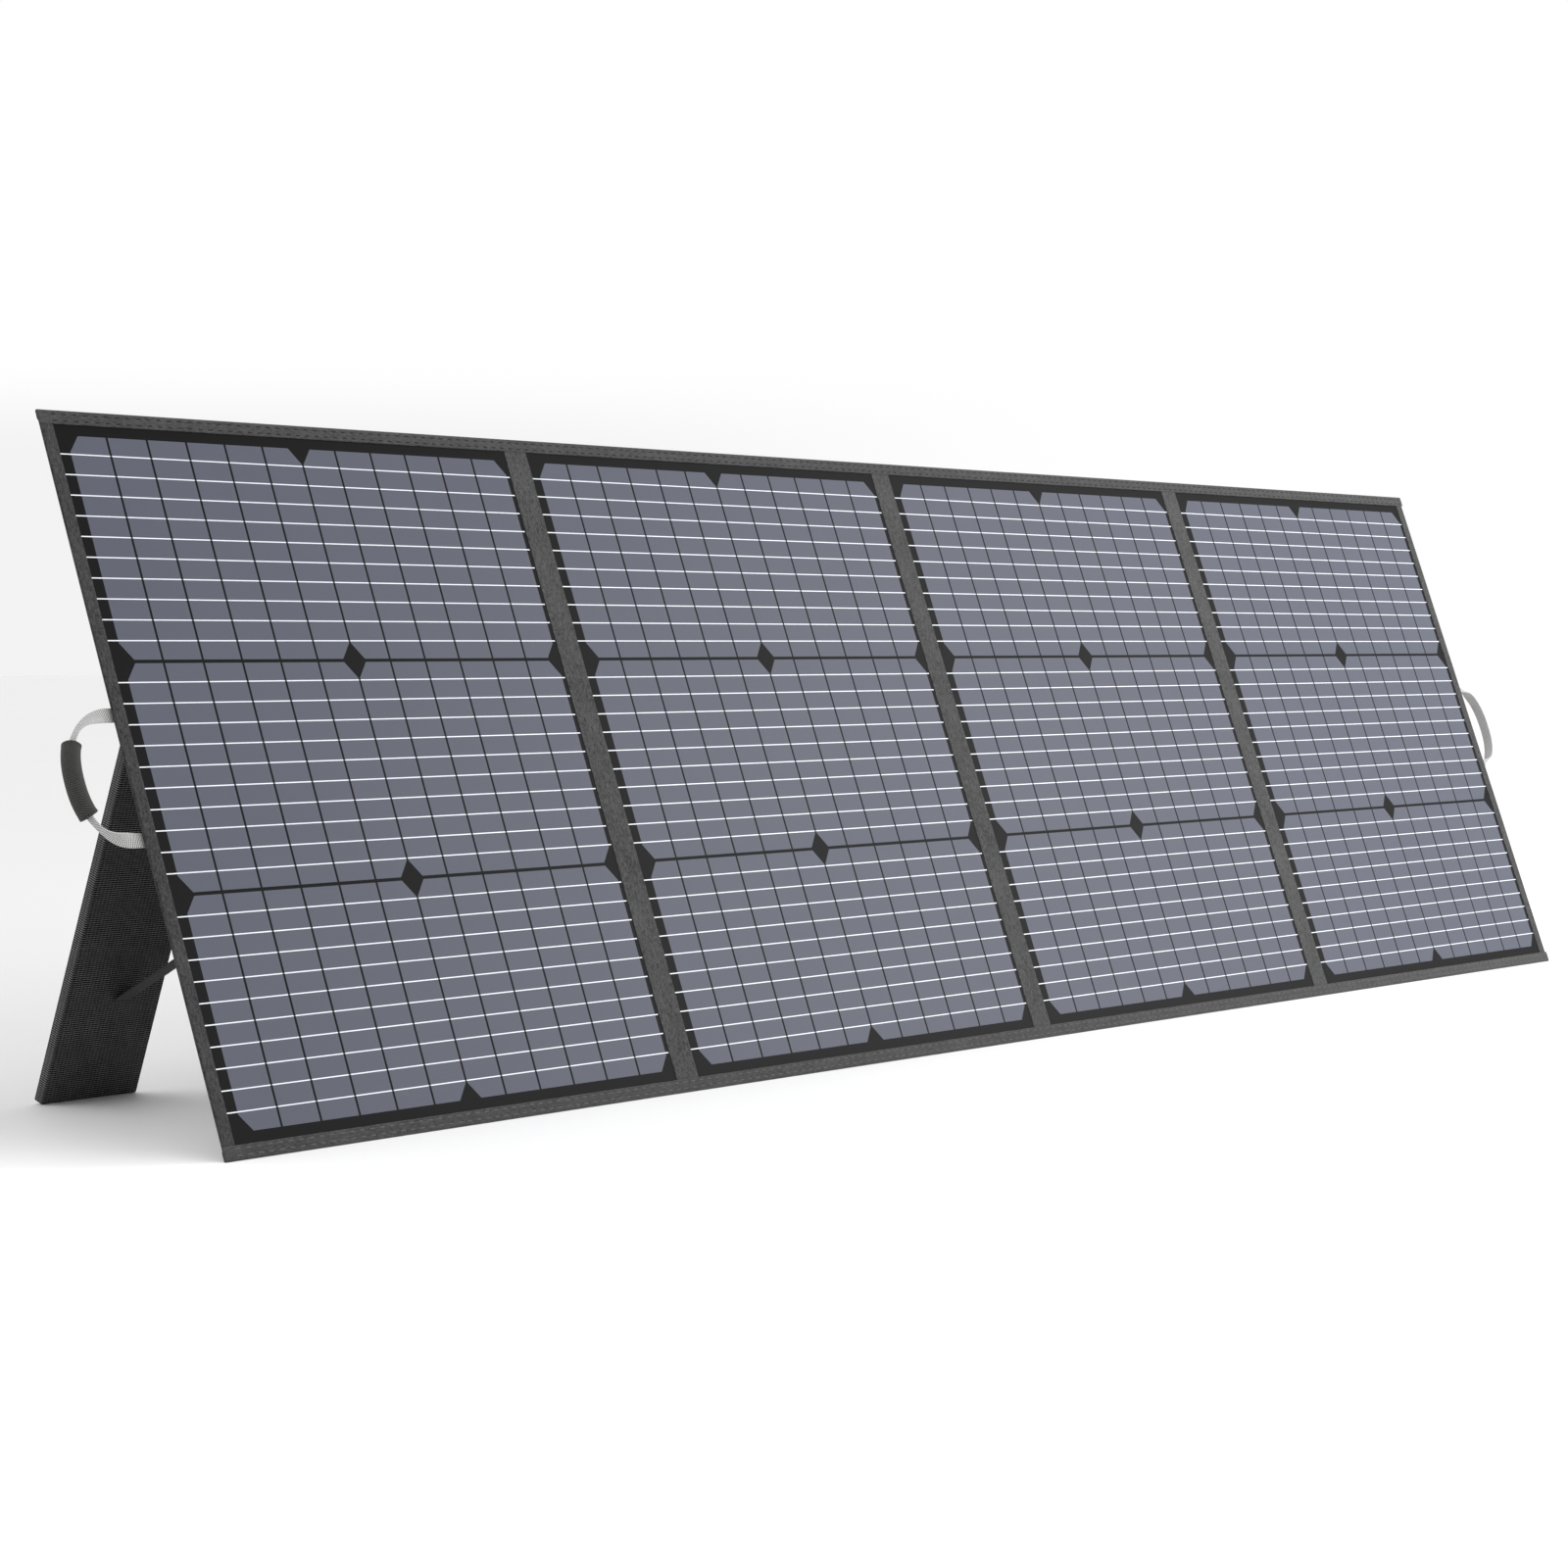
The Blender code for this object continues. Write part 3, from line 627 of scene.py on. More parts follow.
def upright_bands():
    """The cloth between the leaves, and the strips down the two outer sides."""
    top = HALF - HEM + 1.1 * MM
    kinds = [(1, "side_strip_1", leaf_edges(1)[0], window(1)[0], -1)]
    for k in (1, 2, 3):
        fold = (k - 2) * PITCH
        kinds.append((k, f"hinge_band_{k}{k + 1}", fold - BAND, fold + BAND, 0))
    kinds += [(4, "side_strip_4", window(4)[1], leaf_edges(4)[1], 1)]
    for number, name, left, right, outer in kinds:
        section = strip_section(left, right, outer)
        heights = span(-top, top, 4 * MM)
        rings = []
        for z in heights:
            ring = []
            for x, y in section:
                inner = 1.0 if not outer or abs(x - (left if outer > 0 else right)) < 2 * MM else 0.0
                edge = min(abs(x - left), abs(x - right)) < 0.7 * MM
                shift = 0.16 * MM * wobble(x * 0.02, z, 4.0 + number, 70) if edge and inner else 0.0
                ring.append(Vector((x + shift, y + 0.05 * MM * wobble(x, z, 9.0, 45), z)))
            rings.append(ring)
        mesh, layer = new_mesh()
        loft(mesh, layer, rings, heights)
        cloth = "fabric_side" if outer else "fabric"
        piece = place(name, mesh, cloth, sharp=50)
        if outer:
            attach(piece, panel(number))
        else:
            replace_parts(piece, f"front_border_{number}", f"front_border_{number + 1}")
            fold_blend(piece, number, (left + right) / 2)


def flat_plate(mesh, layer, outline, front, back, material=0, bevel=0.0):
    """A thin plate with its front at y = front, its edges rounded off by bevel."""
    centre = sum((Vector((x, 0, z)) for x, z in outline), Vector()) / len(outline)
    rings = []
    for inset, depth in ((0.0, back), (0.0, front + bevel), (bevel, front)):
        ring = []
        for x, z in outline:
            spot = Vector((x, 0, z))
            toward = centre - spot
            spot += Vector((math.copysign(inset, toward.x), 0, math.copysign(inset, toward.z)))
            ring.append(mesh.verts.new(spot + Y * depth))
        rings.append(ring)
    count = len(outline)
    faces = [mesh.faces.new(rings[0]), mesh.faces.new(rings[2])]
    for first, second in zip(rings, rings[1:]):
        for i in range(count):
            j = (i + 1) % count
            faces.append(mesh.faces.new((first[i], first[j], second[j], second[i])))
    for face in faces:
        face.material_index = material
        lay_along(face, layer, 0, 2)


def strip_edges(middle):
    """The (left, right) of the six strips of a cell centred at x = middle."""
    start = middle - COLUMN_PITCH / 2
    return [
        (start + i * STRIP_PITCH + STRIP_GAP / 2, start + (i + 1) * STRIP_PITCH - STRIP_GAP / 2)
        for i in range(STRIPS)
    ]


def cell_outline(strips, i, z0, z1):
    """One strip's outline, with the cell's cut corners on the first and last strips."""
    left, right = strips[i]
    cut_x, cut_z = CELL_CHAMFER
    if i == 0:
        inner = left + cut_x
        return [(left, z1 - cut_z), (left, z0 + cut_z), (inner, z0), (right, z0), (right, z1), (inner, z1)]
    points = [(left, z1), (left, z0)]
    if i < STRIPS - 1:
        return points + [(right, z0), (right, z1)]
    inner = right - cut_x
    return points + [(inner, z0), (right, z0 + cut_z), (right, z1 - cut_z), (inner, z1)]


def window_pieces(leaf):
    """The black backsheet, the six cells in strips, and the ribbons of one leaf."""
    left, right = window(leaf)
    middle = (left + right) / 2 + CELL_SHIFT
    lap = 2 * MM
    top = HALF - HEM + lap
    mesh, layer = new_mesh()
    outline = rectangle(left - lap, right + lap, -top, top)
    flat_plate(mesh, layer, outline, BACKSHEET, 2.5 * MM, bevel=0.1 * MM)
    riding(panel(leaf), "laminate", f"backsheet_{leaf}", mesh, "backsheet", f"laminate_{leaf}")

    all_strips = []
    for column in range(2):
        x = middle + (column - 0.5) * COLUMN_PITCH
        strips = strip_edges(x)
        all_strips += strips
        for row in range(3):
            z = (1 - row) * ROW_PITCH
            mesh, layer = new_mesh()
            for i in range(STRIPS):
                outline = cell_outline(strips, i, z - CELL_SIZE[1] / 2, z + CELL_SIZE[1] / 2)
                flat_plate(mesh, layer, outline, CELL_FACE, BACKSHEET + 0.02 * MM, bevel=0.03 * MM)
            node = f"cell_{leaf}_{'abcdef'[row * 2 + column]}"
            riding(panel(leaf), "cell", f"strips_{node}", mesh, "cell", node)

    mesh, layer = new_mesh()
    step = ROW_PITCH / (RIBBONS_PER_ROW + 1)
    half = RIBBON_HALF
    edges = [x for strip in all_strips for x in strip]
    joins = [left - 1 * MM, *edges[1:-1], right - RIBBON_SHORT]  # ribbon and link by turns
    for row in range(3):
        for i in range(RIBBONS_PER_ROW):
            z = (row - 1) * ROW_PITCH - ROW_PITCH / 2 + step * (i + 1)
            for n in range(0, len(joins), 2):
                outline = rectangle(joins[n], joins[n + 1], z - half, z + half)
                flat_plate(mesh, layer, outline, RIBBON_FACE, BACKSHEET, bevel=0.05 * MM)
            # Links across the gaps: material 1 is the ribbon's metal darkened with painted shade where it dips
            # into the gap
            for n in range(1, len(joins) - 1, 2):
                outline = rectangle(joins[n], joins[n + 1], z - 0.8 * half, z + 0.8 * half)
                flat_plate(mesh, layer, outline, RIBBON_FACE + 0.1 * MM, BACKSHEET, material=1)
    looks = ["ribbon", "link"]
    riding(panel(leaf), "ribbon", f"ribbons_{leaf}", mesh, looks, f"ribbon_grid_{leaf}")


def back_panel(leaf):
    """The cloth stretched over the back of a leaf, pulled down to a sewn margin all round."""
    left, right = leaf_edges(leaf)
    inner_left, inner_right = window(leaf)
    wall = 2.9 * MM
    tray = (inner_left - wall, inner_right + wall, -(HALF - HEM) - wall, HALF - HEM + wall)
    margin = HALF - 1.2 * MM
    flange = 1.95 * MM

    def graded(low, tray_low, tray_high, high, step):
        near = [0, 0.4, 0.9, 1.5, 2.2, 3.2, 5, 8, 12]
        found = [low + (tray_low - low) * i / 4 for i in range(4)]
        found += [tray_low + n * MM for n in near]
        count = math.ceil((tray_high - tray_low - 24 * MM) / step)
        start, end = tray_low + 12 * MM, tray_high - 12 * MM
        found += [start + (end - start) * i / count for i in range(1, count)]
        found += [tray_high - n * MM for n in reversed(near)]
        return found + [tray_high + (high - tray_high) * i / 4 for i in range(1, 5)]

    columns = graded(left, tray[0], tray[1], right, 9 * MM)
    rows = graded(-margin, tray[2], tray[3], margin, 9 * MM)

    def depth(x, z):
        inside = min(x - tray[0], tray[1] - x, z - tray[2], tray[3] - z)
        if inside <= 0:
            return flange + 0.05 * MM * wobble(x, z, 2.0, 90)
        rise = min(1.0, inside / (2.4 * MM))
        rise = math.sqrt(1 - (1 - rise) ** 2)
        sag = 0.14 * MM * (1 + wobble(x, z, leaf * 3.0, 11)) + 0.1 * MM * (1 + wobble(x, z, leaf * 5.0, 38))
        pull = 0.12 * MM * (1 + math.sin(z * 520 + 3 * wobble(x, z, 6.0, 20))) * math.exp(-inside / (11 * MM))
        return flange + (BACK_FACE + 0.05 * MM - flange - (sag + pull) * min(1.0, inside / (3 * MM))) * rise

    mesh, layer = new_mesh()
    grid = [[mesh.verts.new((x, depth(x, z), z)) for z in rows] for x in columns]
    quilt(mesh, layer, grid)
    back = place(f"back_panel_{leaf}", mesh, "fabric", sharp=70)
    if back.data.polygons[0].normal.dot(LEAF.to_3x3() @ Y) < 0:
        back.data.flip_normals()
    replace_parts(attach(back, panel(leaf)), f"back_cover_{leaf}")

    mesh, layer = new_mesh()
    off = 1.6 * MM
    corners = rectangle(tray[0] - off, tray[1] + off, tray[2] - off, tray[3] + off)
    for a, b in zip(corners, corners[1:] + corners[:1]):
        seam(mesh, layer, *a, *b, flange + 0.05 * MM, 4.5 * MM)
    riding(panel(leaf), "fabric", f"back_panel_{leaf}_stitching", mesh, "grey_thread")


# ---- legs


def leg_sleeve(leaf, side):
    """A sleeve of ribbed cloth round the leg's board: two faces and two edges."""
    matrix = leg_matrix(side)
    half, round_off = LEG_WIDTH / 2, 1.1 * MM
    front, back = LEG_FACE, LEG_FACE + LEG_DEPTH
    low, high = -LEG_LENGTH, -LEG_TOP

    def section(shrink):
        """(x, y, part, along) round the leg: part 0 front, 1 right edge, 2 back, 3 left edge."""
        w, f, b, r = half - shrink, front + shrink, back - shrink, round_off
        count = 14
        ring = [(-w + r + (2 * w - 2 * r) * i / count, f, 0) for i in range(count + 1)]
        near, edge = w - r * 0.3, [f + r, (f + b) / 2, b - r]
        right = [(near, f + r * 0.3, 1), *[(w, y, 1) for y in edge], (near, b - r * 0.3, 1)]
        ring += right
        ring += [(w - r - (2 * w - 2 * r) * i / count, b, 2) for i in range(count + 1)]
        return ring + [(-x, y, 3) for x, y, _ in reversed(right)]

    heights = [low + n * MM for n in (0, 0.25, 0.8, 1.6, 3)]
    heights += span(low + 8 * MM, high - 6 * MM, 8 * MM)
    heights += [high - n * MM for n in (3, 1.5, 0.6, 0)]
    last = len(heights) - 1
    shrinks = {0: 1.0 * MM, 1: 0.45 * MM, 2: 0.12 * MM, last: 0.9 * MM, last - 1: 0.3 * MM}
    mesh, layer = new_mesh()
    rows = []
    for i, z in enumerate(heights):
        ring = []
        for x, y, part in section(shrinks.get(i, 0.0)):
            pucker = 0.1 * MM * wobble(x, z, leaf + part * 2.0, 40)
            if part in (0, 2):
                y += pucker if part == 0 else -abs(pucker)
            elif abs(y - (front + back) / 2) < 1 * MM:
                x -= math.copysign(0.12 * MM + abs(pucker), x)
            ring.append((mesh.verts.new((x, y, z)), part))
        rows.append(ring)
    count = len(rows[0])
    for first, second in zip(rows, rows[1:]):
        for j in range(count):
            k = (j + 1) % count
            face = mesh.faces.new((first[j][0], first[k][0], second[k][0], second[j][0]))
            part = first[j][1] if first[j][1] % 2 else first[k][1]
            lay_along(face, layer, 2, part % 2)
    for row in (rows[0], rows[-1]):
        lay_along(mesh.faces.new([vert for vert, _ in row]), layer, 1, 0)
    leg, kind = f"leg_{leaf}", {"matrix": matrix, "sharp": 40}
    riding(leg, "leg_fabric", f"leg_{leaf}_sleeve", mesh, "leg", f"leg_{leaf}_cover", **kind)

    mesh, layer = new_mesh()
    seams = [(x, low + 4 * MM, x, high - 4 * MM) for x in (-half + 2.2 * MM, half - 2.2 * MM)]
    seams.append((-half + 3 * MM, high - 5 * MM, half - 3 * MM, high - 5 * MM))
    for x0, z0, x1, z1 in seams:
        for y, out in ((front - 0.02 * MM, -Y), (back - 0.06 * MM, Y)):
            seam(mesh, layer, x0, z0, x1, z1, y, 4.5 * MM, out, width=0.45 * MM, height=0.12 * MM)
    riding(leg, "leg_fabric", f"leg_{leaf}_stitching", mesh, "dark_thread", matrix=matrix)


def running(path, first=0.0):
    """The length of a path up to each of its points, first being its length before the path."""
    found = [first]
    for a, b in zip(path, path[1:]):
        found.append(found[-1] + (b - a).length)
    return found


def directions(path, i, across):
    """(along, wide, out) at a point of a path, for a section that is wide towards across."""
    along = (path[min(i + 1, len(path) - 1)] - path[max(i - 1, 0)]).normalized()
    wide = (across - along * across.dot(along)).normalized()
    return along, wide, along.cross(wide).normalized()


def ribbon_of(mesh, layer, path, across, width, thick, first=0.0):
    """A flat tape along a path of points, with rounded long edges."""
    rings = []
    half_w, half_t = width / 2, thick / 2
    for i, point in enumerate(path):
        _, wide, out = directions(path, i, across[i] if isinstance(across, list) else across)
        section = [
            (-1, -0.3), (-1, 0.3), (-0.97, 0.85), (-0.9, 1), (-0.5, 1), (0, 1), (0.5, 1), (0.9, 1),
            (0.97, 0.85), (1, 0.3), (1, -0.3), (0.97, -0.85), (0.9, -1), (0.5, -1), (0, -1),
            (-0.5, -1), (-0.9, -1), (-0.97, -0.85),
        ]
        rings.append([point + wide * (a * half_w) + out * (b * half_t) for a, b in section])
    loft(mesh, layer, rings, running(path, first))


def smooth_path(points, step):
    """A Catmull-Rom line through points, cut into short steps."""
    found = []
    padded = [points[0] * 2 - points[1], *points, points[-1] * 2 - points[-2]]
    for a, b, c, d in zip(padded, padded[1:], padded[2:], padded[3:]):
        count = max(2, math.ceil((c - b).length / step))
        for i in range(count):
            t = i / count
            bend, twist = 2 * a - 5 * b + 4 * c - d, 3 * b - a - 3 * c + d
            found.append(0.5 * (2 * b + (c - a) * t + bend * t * t + twist * t**3))
    return [*found, points[-1]]


def leg_cloth(leaf, side):
    """The cloth hinge at the top of a leg, and the strap that stops it."""
    to_leaf = LEAF.inverted() @ leg_matrix(side)
    x = side * LEG_CENTRE
    axis = Vector((x, *LEG_AXIS))
    on_leaf = [Vector((x, BACK_FACE + 0.65 * MM, axis.z + up * MM)) for up in (27.5, 20, 12, 6, 2)]
    on_leg = [to_leaf @ Vector((0, LEG_FACE - 0.55 * MM, down * MM)) for down in (-5, -9, -15, -20)]
    path = smooth_path(on_leaf + on_leg, 1.5 * MM)
    mesh, layer = new_mesh()
    ribbon_of(mesh, layer, path, X, LEG_WIDTH - 1 * MM, 0.8 * MM)
    hinge = place(f"leg_{leaf}_hinge_cloth", mesh, "leg", sharp=60)
    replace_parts(hinge, f"leg_{leaf}_hinge_strip")
    start, end = LEAF @ (axis + Z * 3 * MM), LEAF @ (axis - Z * 4 * MM)
    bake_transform(hinge)
    mesh, layer = new_mesh()
    for up in (24, 6):
        z = axis.z + up * MM
        seam(mesh, layer, x - 47 * MM, z, x + 47 * MM, z, BACK_FACE + 1.03 * MM, 4 * MM)
    riding(panel(leaf), "leg_fabric", f"leg_{leaf}_hinge_stitching", mesh, "dark_thread")

    x = side * (LEG_CENTRE - STRAP_OFFSET)
    middle = Vector((x, BACK_FACE + 0.8 * MM, STRAP_LEAF_UP - HALF))
    foot = to_leaf @ Vector((0, LEG_FACE + 0.7 * MM, STRAP_LEG_UP - LEG_LENGTH))
    foot.x = x
    gap = foot - middle
    sewn = smooth_path([middle + Z * up * MM for up in (24, 12, 5)] + [middle, middle + gap * 0.015], 3 * MM)

    length = 0.0
    for i, (start, end) in enumerate(zip(STRAP_CUTS, STRAP_CUTS[1:])):
        if i:
            count = max(2, math.ceil((end - start) * gap.length / (6 * MM)))
            path = [middle + gap * (start + (end - start) * n / count) for n in range(count + 1)]
        else:
            path = [*sewn, middle + gap * 0.022, middle + gap * end]
        mesh, layer = new_mesh()
        ribbon_of(mesh, layer, path, X, STRAP_WIDTH, 1.2 * MM, first=length)
        length += sum((b - a).length for a, b in zip(path, path[1:]))
        strap = place(f"leg_{leaf}_strap_tape_{i + 1}", mesh, "strap", sharp=60)
        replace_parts(strap, f"leg_{leaf}_strap")
        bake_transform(strap)
    mesh, layer = new_mesh()
    half = STRAP_WIDTH / 2 - 2.4 * MM
    cross_box(mesh, layer, x - half, x + half, BACK_FACE + 1.42 * MM, middle.z + 6 * MM, middle.z + 21 * MM)
    riding(panel(leaf), "strap", f"leg_{leaf}_strap_stitching", mesh, "grey_thread")


# ---- handles


def signed_power(value, power):
    return math.copysign(abs(value) ** power, value)


def loop_spot(side, edge, turn):
    """(place, share of its twist) of the handle's webbing at a turning angle, 0 at the top end."""
    bow = 2 / HANDLE_POWER
    flat = PATCH_BACK + PATCH[2] / 2
    z = HANDLE_HALF * signed_power(math.cos(turn), bow)
    out = HANDLE_REACH * abs(math.sin(turn)) ** bow
    share = min(out / (0.8 * HANDLE_REACH), 1.0)
    share = share * share * (3 - 2 * share)
    return Vector((edge + side * out, flat + (HANDLE_BACK - flat) * share, z + HANDLE_RISE)), share


def loop_path(side, edge, start, end, count, over=0.0):
    """The webbing's line and width directions between two turning angles.

    It twists by a quarter turn, and by up to over more, in radians, towards its last end.
    """
    spots = [loop_spot(side, edge, start + (end - start) * i / count) for i in range(count + 1)]
    path, across = [], []
    for i, (point, share) in enumerate(spots):
        before, after = spots[max(i - 1, 0)][0], spots[min(i + 1, count)][0]
        in_plane = (after - before).normalized().cross(Y).normalized()
        turn = share * (math.pi / 2 + over * i / count)
        path.append(point)
        across.append(in_plane * math.cos(turn) + side * Y * math.sin(turn))
    return path, across


def handle(leaf, side, grip):
    edge = side * (2 * PITCH - SIDE_INSET[leaf])
    path, across = loop_path(side, edge, 0.0, math.pi, 150, OVERTURN[leaf])
    inward = [Vector((edge - side * n * MM, path[0].y, path[0].z)) for n in (34, 26, 18, 10, 5, 2)]
    outward = [Vector((p.x, p.y, 2 * HANDLE_RISE - p.z)) for p in reversed(inward)]
    path = inward + path[1:-1] + outward
    across = [across[0]] * len(inward) + across[1:-1] + [across[-1]] * len(outward)
    mesh, layer = new_mesh()
    ribbon_of(mesh, layer, path, across, *WEBBING)
    tape = place(f"handle_{leaf}_tape", mesh, "webbing", sharp=60)
    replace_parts(tape, f"handle_{leaf}_webbing")
    bend(tape, panel(leaf), f"handle_{leaf}", edge - side * 1 * MM, edge + side * 5 * MM)

    outer = edge - side * PATCH_INSET
    inner = outer - side * PATCH[0]
    low, high = sorted((inner, outer))
    half = PATCH[1] / 2
    mesh, layer = new_mesh()
    columns = span(low, high, 1.6 * MM)
    rows = span(HANDLE_RISE - half, HANDLE_RISE + half, 1.6 * MM)

    def height(px, pz):
        """How far the patch stands out: it's raised where it lies over the tape, and low at its rim."""
        rim = min(px - low, high - px, pz - rows[0], rows[-1] - pz)
        over = max(0.0, 1 - max(0.0, abs(abs(pz - HANDLE_RISE) - HANDLE_HALF) - 5 * MM) / (2.5 * MM))
        return (0.45 * MM + 0.5 * MM * over * over * (3 - 2 * over)) * min(1.0, 0.35 + rim / (1.6 * MM))

    rims = []
    for depth in (height, lambda px, pz: -0.2 * MM):
        grid = [[mesh.verts.new((px, PATCH_BACK + depth(px, pz), pz)) for pz in rows] for px in columns]
        quilt(mesh, layer, grid)
        far = [row[-1] for row in reversed(grid[:-1])]
        rims.append([row[0] for row in grid] + grid[-1][1:] + far + grid[0][-2:0:-1])
    for i in range(len(rims[0])):
        j = (i + 1) % len(rims[0])
        lay_along(mesh.faces.new((rims[0][i], rims[0][j], rims[1][j], rims[1][i])), layer, 2, 0)
    node = f"handle_{leaf}_anchor_patch"
    riding(panel(leaf), "fabric", f"handle_{leaf}_patch", mesh, "fabric", node, sharp=60)

    mesh, layer = new_mesh()
    for end_z in (HANDLE_RISE + HANDLE_HALF, HANDLE_RISE - HANDLE_HALF):
        y = PATCH_BACK + 0.9 * MM
        cross_box(mesh, layer, low + 7 * MM, high - 5 * MM, y, end_z - 4 * MM, end_z + 4 * MM)
    off = 3 * MM
    a, b, c, d = low + off, high - off, rows[0] + off, rows[-1] - off
    for ends in ((a, c, a, d), (b, c, b, d), (a, c, b, c), (a, d, b, d)):
        seam(mesh, layer, *ends, PATCH_BACK + 0.42 * MM, 4 * MM)
    riding(panel(leaf), "fabric", f"handle_{leaf}_patch_stitching", mesh, "grey_thread")
    if grip:
        grip_sleeve(leaf, side, edge)


def grip_sleeve(leaf, side, edge):
    """The dark sleeve that is sewn round the middle of a handle."""
    lift = math.acos((GRIP_HALF / HANDLE_HALF) ** (HANDLE_POWER / 2))
    path, across = loop_path(side, edge, lift, math.pi - lift, 60)
    rings, lengths = [], running(path)
    last = len(path) - 1
    steps = 36
    for i, point in enumerate(path):
        _, wide, out = directions(path, i, across[i])
        flare = 1 + 0.03 * max(0.0, 1 - min(i, last - i) / 4)
        ring = []
        for n in range(steps):
            turn = 2 * math.pi * n / steps
            a, b = signed_power(math.cos(turn), 0.9), signed_power(math.sin(turn), 0.9)
            size = flare * (1 + 0.012 * wobble(lengths[i] + a * 0.004, b * 0.004, 12.0, 60))
            ring.append(point + wide * (GRIP[0] / 2 * a * size) + out * (GRIP[1] / 2 * b * size))
        rings.append(ring)

    def inside(i, depth, share):
        """The ring at an end of the sleeve, moved back inside it by depth mm and shrunk to share."""
        along = directions(path, i, across[i])[0] * (1 if i else -1)
        centre = path[i] - along * (depth * MM)
        return [centre + (p - along * (depth * MM) - centre) * share for p in rings[i]]

    # The cloth turns in at both ends and runs a little way back inside.
    tucks = ((5, 0.62), (1, 0.8), (0, 0.86), (-0.3, 0.94))
    first = [inside(0, *tuck) for tuck in tucks]
    end = [inside(last, *tuck) for tuck in reversed(tucks)]
    rings = [*first, *rings, *end]
    beyond = (7, 3, 1.4, 0.6)
    lengths = [
        *[lengths[0] - n * MM for n in beyond], *lengths, *[lengths[-1] + n * MM for n in reversed(beyond)]
    ]
    mesh, layer = new_mesh()
    loft(mesh, layer, rings, lengths)
    body = f"handle_{leaf}"
    riding(body, "grip", f"{body}_grip_sleeve", mesh, "grip", f"{body}_grip", sharp=50)

    mesh, layer = new_mesh()
    for row in (2, last - 2):
        ring = rings[row + 4]
        centre = path[row]
        for n in range(0, steps, 2):
            a, b = ring[n], ring[(n + 1) % steps]
            out = ((a + b) / 2 - centre).normalized()
            stitch(mesh, layer, a - out * 0.05 * MM, b - out * 0.05 * MM, out, 0.5 * MM, 0.15 * MM)
    riding(body, "grip", f"{body}_grip_stitching", mesh, "dark_thread")


# ---- junction box


def turned_piece(mesh, layer, profile, centre, axis, steps=28):
    """A closed round shape: (radius, along) points in mm turned about axis through centre."""
    profile = [(radius * MM, along * MM) for radius, along in profile]
    side = axis.orthogonal().normalized()
    other = axis.cross(side)
    turns = [2 * math.pi * i / steps for i in range(steps)]
    spokes = [side * math.cos(turn) + other * math.sin(turn) for turn in turns]
    rings = [[centre + axis * along + spoke * radius for spoke in spokes] for radius, along in profile]
    lengths = [0.0]
    for (r0, a0), (r1, a1) in zip(profile, profile[1:]):
        lengths.append(lengths[-1] + math.hypot(r1 - r0, a1 - a0))
    loft(mesh, layer, rings, lengths)


def junction_box():
    """Trim on the junction box: lid screws, a gasket, ribs on the socket and its two contacts."""
    low, high = (LEAF.inverted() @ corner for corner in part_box("junction_box_lid"))
    centre_x = (low.x + high.x) / 2
    centre_z = 60 * MM
    lid_face = 22.5 * MM
    screw = [(2.4, 0), (2.6, 0.3), (2.6, 0.9), (2.3, 1.25), (1.5, 1.4), (1.2, 1.35), (0.9, 0.7), (0.3, 0.6)]
    mesh, layer = new_mesh()
    for sx in (-1, 1):
        for sz in (-1, 1):
            spot = Vector((centre_x + sx * 41 * MM, lid_face - 0.6 * MM, centre_z + sz * 25 * MM))
            turned_piece(mesh, layer, screw, spot, Y)
    riding("panel_1", "box_plastic", "junction_box_screws", mesh, "screw", sharp=30)

    mesh, layer = new_mesh()
    inset = 0.7 * MM
    half_x, half_z = 48 * MM - inset, 32 * MM - inset
    outline = rectangle(centre_x - half_x, centre_x + half_x, centre_z - half_z, centre_z + half_z)
    flat_plate(mesh, layer, outline, 18.9 * MM, 19.8 * MM)
    riding("panel_1", "socket", "junction_box_gasket", mesh, "socket")

    mouth = centre_z - 32 * MM - 13.3 * MM
    spot = Vector((centre_x, PATCH_BACK + 8 * MM, mouth))
    mesh, layer = new_mesh()
    collar = [
        (4.75, 0.4), (6.9, 0.4), (7.35, 0.8), (7.35, 1.6), (7.0, 2.0), (7.35, 2.4), (7.35, 3.2), (7.0, 3.6),
        (7.35, 4.0), (7.35, 4.8), (6.9, 5.2), (5.0, 5.2),
    ]
    turned_piece(mesh, layer, collar, spot, Z)
    riding("panel_1", "socket", "output_socket_collar", mesh, "socket", sharp=40)
    mesh, layer = new_mesh()
    pin = [(0.05, 3.2), (0.4, 3.3), (0.6, 3.8), (0.6, 10.2)]
    for sx in (-1, 1):
        turned_piece(mesh, layer, pin, spot + X * (sx * 1.9 * MM), Z, 12)
    riding("panel_1", "socket", "output_socket_contacts", mesh, "screw", sharp=40)


# ---- stage


def lamp(name, kind, toward, spot=(0, 0, 0), **settings):
    """A light at spot that shines along toward."""
    data = bpy.data.lights.new(name, kind)
    for key, value in settings.items():
        setattr(data, key, value)
    light = add(name, data)
    light.location = spot
    light.rotation_euler = Vector(toward).to_track_quat("-Z", "Y").to_euler()


def studio_world():
    """White all round, a little greyer low down behind the left end of the row."""
    world = bpy.data.worlds.new("studio")
    bpy.context.scene.world = world
    world.use_nodes = True
    tree = Nodes(world.node_tree)
    place = tree.node("ShaderNodeTexCoord")
    behind_left = tree.along(place, (0.45, 0.89, 0), 0.86, 0.95)
    low_down = tree.along(place, (0, 0, -1), -0.078, -0.05)
    shade = tree.maths("MULTIPLY_ADD", tree.times(behind_left, low_down), -0.105, 1.0)
    background = tree.nodes["Background"].inputs
    tree.feed(background["Strength"], shade)
    background["Color"].default_value = (1, 1, 1, 1)


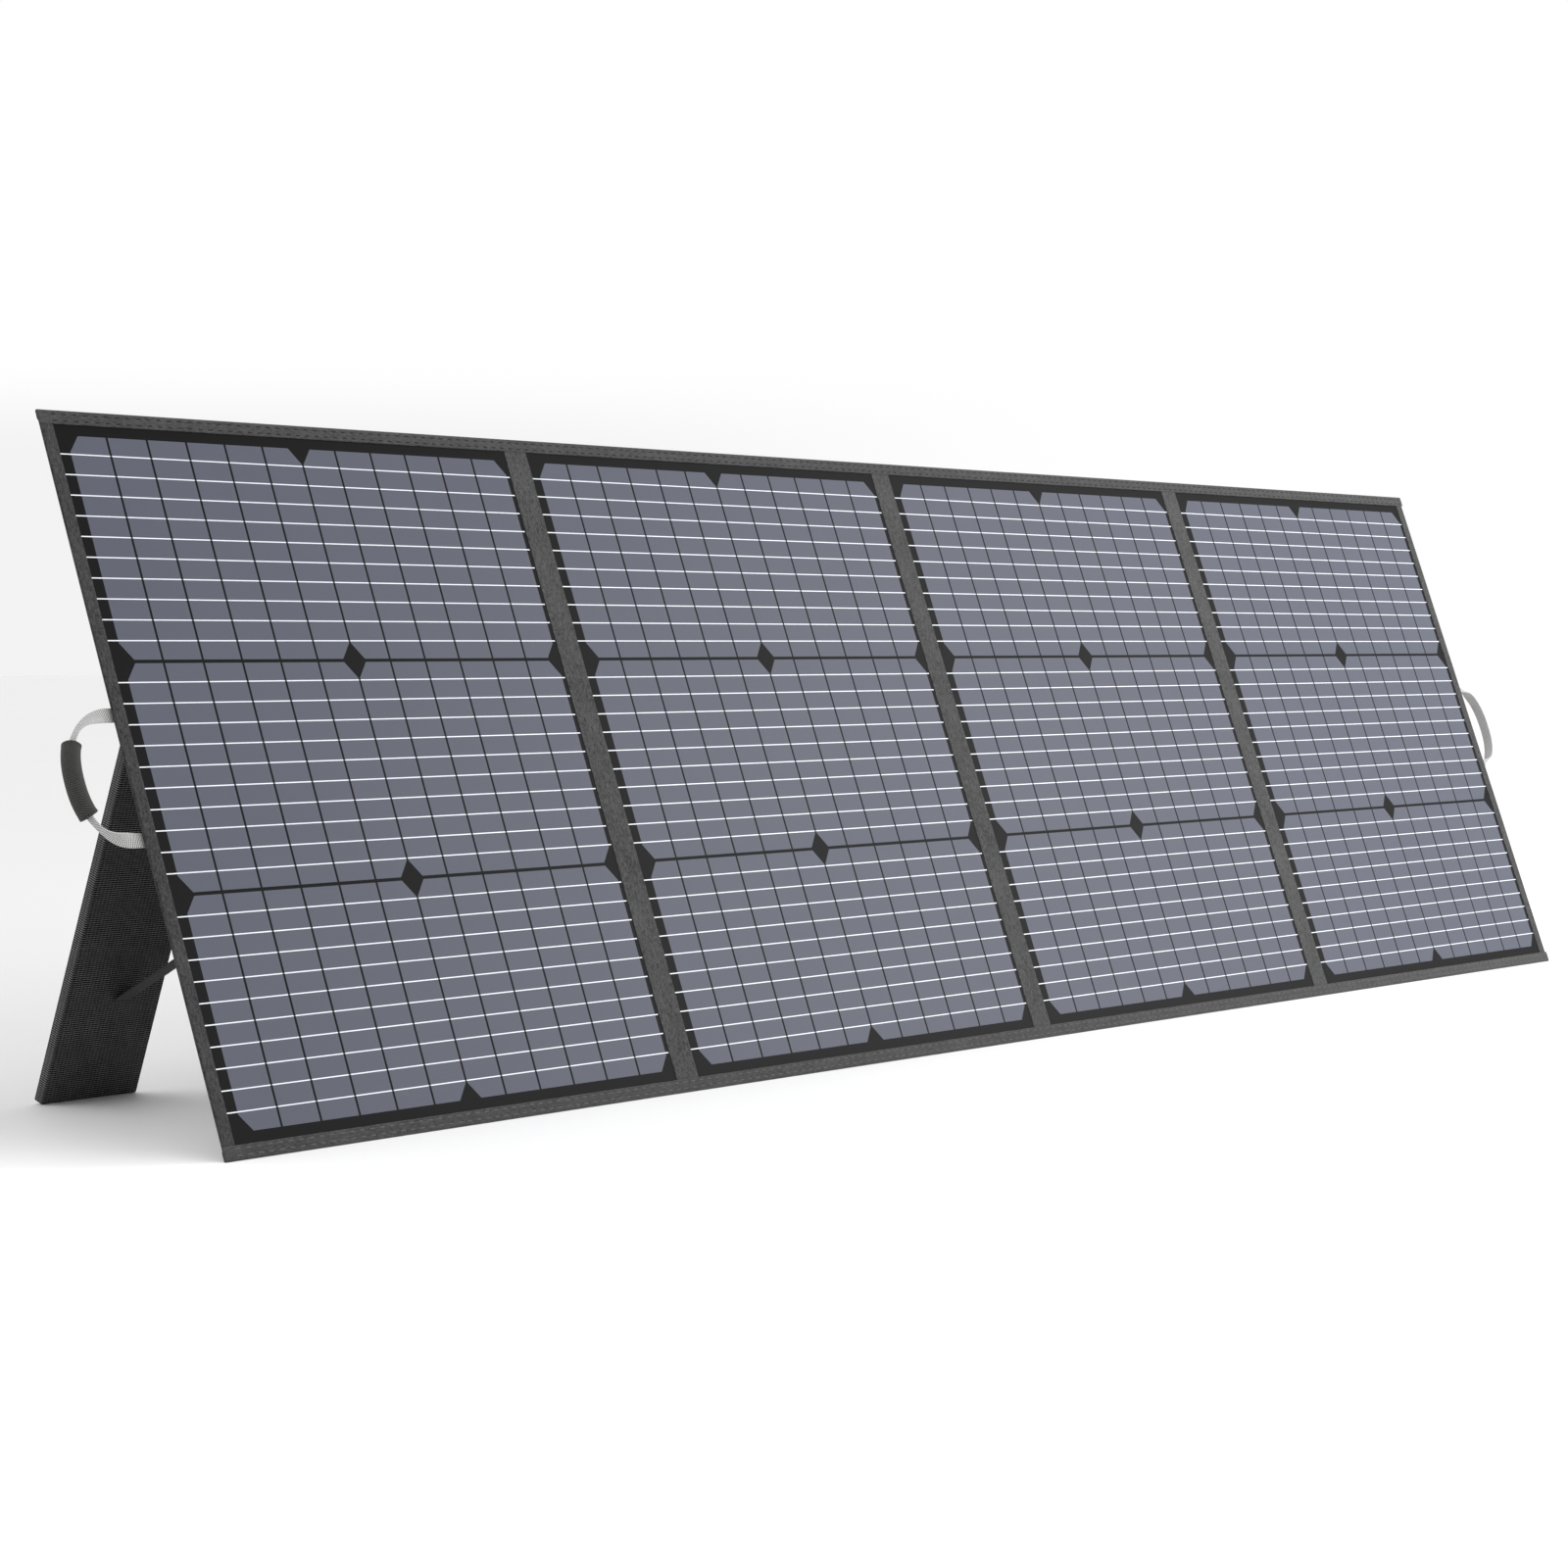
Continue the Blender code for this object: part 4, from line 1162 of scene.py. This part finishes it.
def stage():
    """A flat pale floor with a painted shadow that greys it behind the left end of the row, soft light, and the
    camera.
    """
    scene = bpy.context.scene
    scene.view_settings.view_transform = "Standard"
    mesh = bmesh.new()
    bmesh.ops.create_grid(mesh, x_segments=1, y_segments=1, size=30)
    data = bpy.data.meshes.new("floor")
    mesh.to_mesh(data)
    mesh.free()
    floor = add("floor", data)
    look = Look("studio_floor", 0.6, Specular_IOR_Level=0.15)
    spot = look.node("ShaderNodeTexCoord", 3)
    tone = look.noise(spot, scale=1.5, detail=2)
    # Painted shadow: the floor's colour goes greyer behind the row, most towards its left end
    left_end = look.along(spot, (-0.6207, 0.7841, 0), -1.2, 0.65)
    shadow = look.times(left_end, look.along(spot, (0, 1, 0), -0.16, 0.22))
    base = look.times(look.between(tone, 0.84, 0.86), look.between(shadow, 1.0, 0.76))
    grey = look.node("ShaderNodeCombineXYZ", X=base, Y=base, Z=base)
    look.set("Base Color", grey)
    data.materials.append(look.material)

    studio_world()
    lamp("key", "SUN", (0.05, 0.08, -1.0), energy=1.0, angle=math.radians(60))
    fill_spot, fill_target = Vector((2.2, -1.9, 1.2)), Vector((0.8, 0, 0.3))
    fill = {"shape": "RECTANGLE", "size": 1.6, "size_y": 1.6, "energy": 54}
    lamp("right_fill", "AREA", fill_target - fill_spot, fill_spot, **fill)

    data = bpy.data.cameras.new("camera")
    data.sensor_width, data.lens = 36, 82.57
    camera = add("camera", data)
    forward = Vector((0.78345, 0.6202, -0.0392)).normalized()
    right = Vector((0.6207, -0.7841, 0)).normalized()
    up = right.cross(forward)
    turn = Matrix((right, up, -forward)).transposed().to_4x4()
    camera.matrix_world = Matrix.Translation((-2.8434, -2.11664, 0.3775)) @ turn
    data.clip_start, data.clip_end = 0.05, 100
    scene.camera = camera


def kept_nodes():
    """Better materials on the CAD nodes that stay."""
    looks = {"board": "board", "box_base": "plastic", "box_lid": "plastic", "socket": "socket"}
    for node, obj in frame["nodes"].items():
        for part, look in looks.items():
            if part in node:
                obj.data.materials.clear()
                obj.data.materials.append(LOOKS[look])


hem_pieces()
upright_bands()
for leaf in LEAVES:
    window_pieces(leaf)
    back_panel(leaf)
for leaf, side in ((1, -1), (4, 1)):
    leg_sleeve(leaf, side)
    leg_cloth(leaf, side)
    handle(leaf, side, grip=leaf == 1)
junction_box()
kept_nodes()
stage()
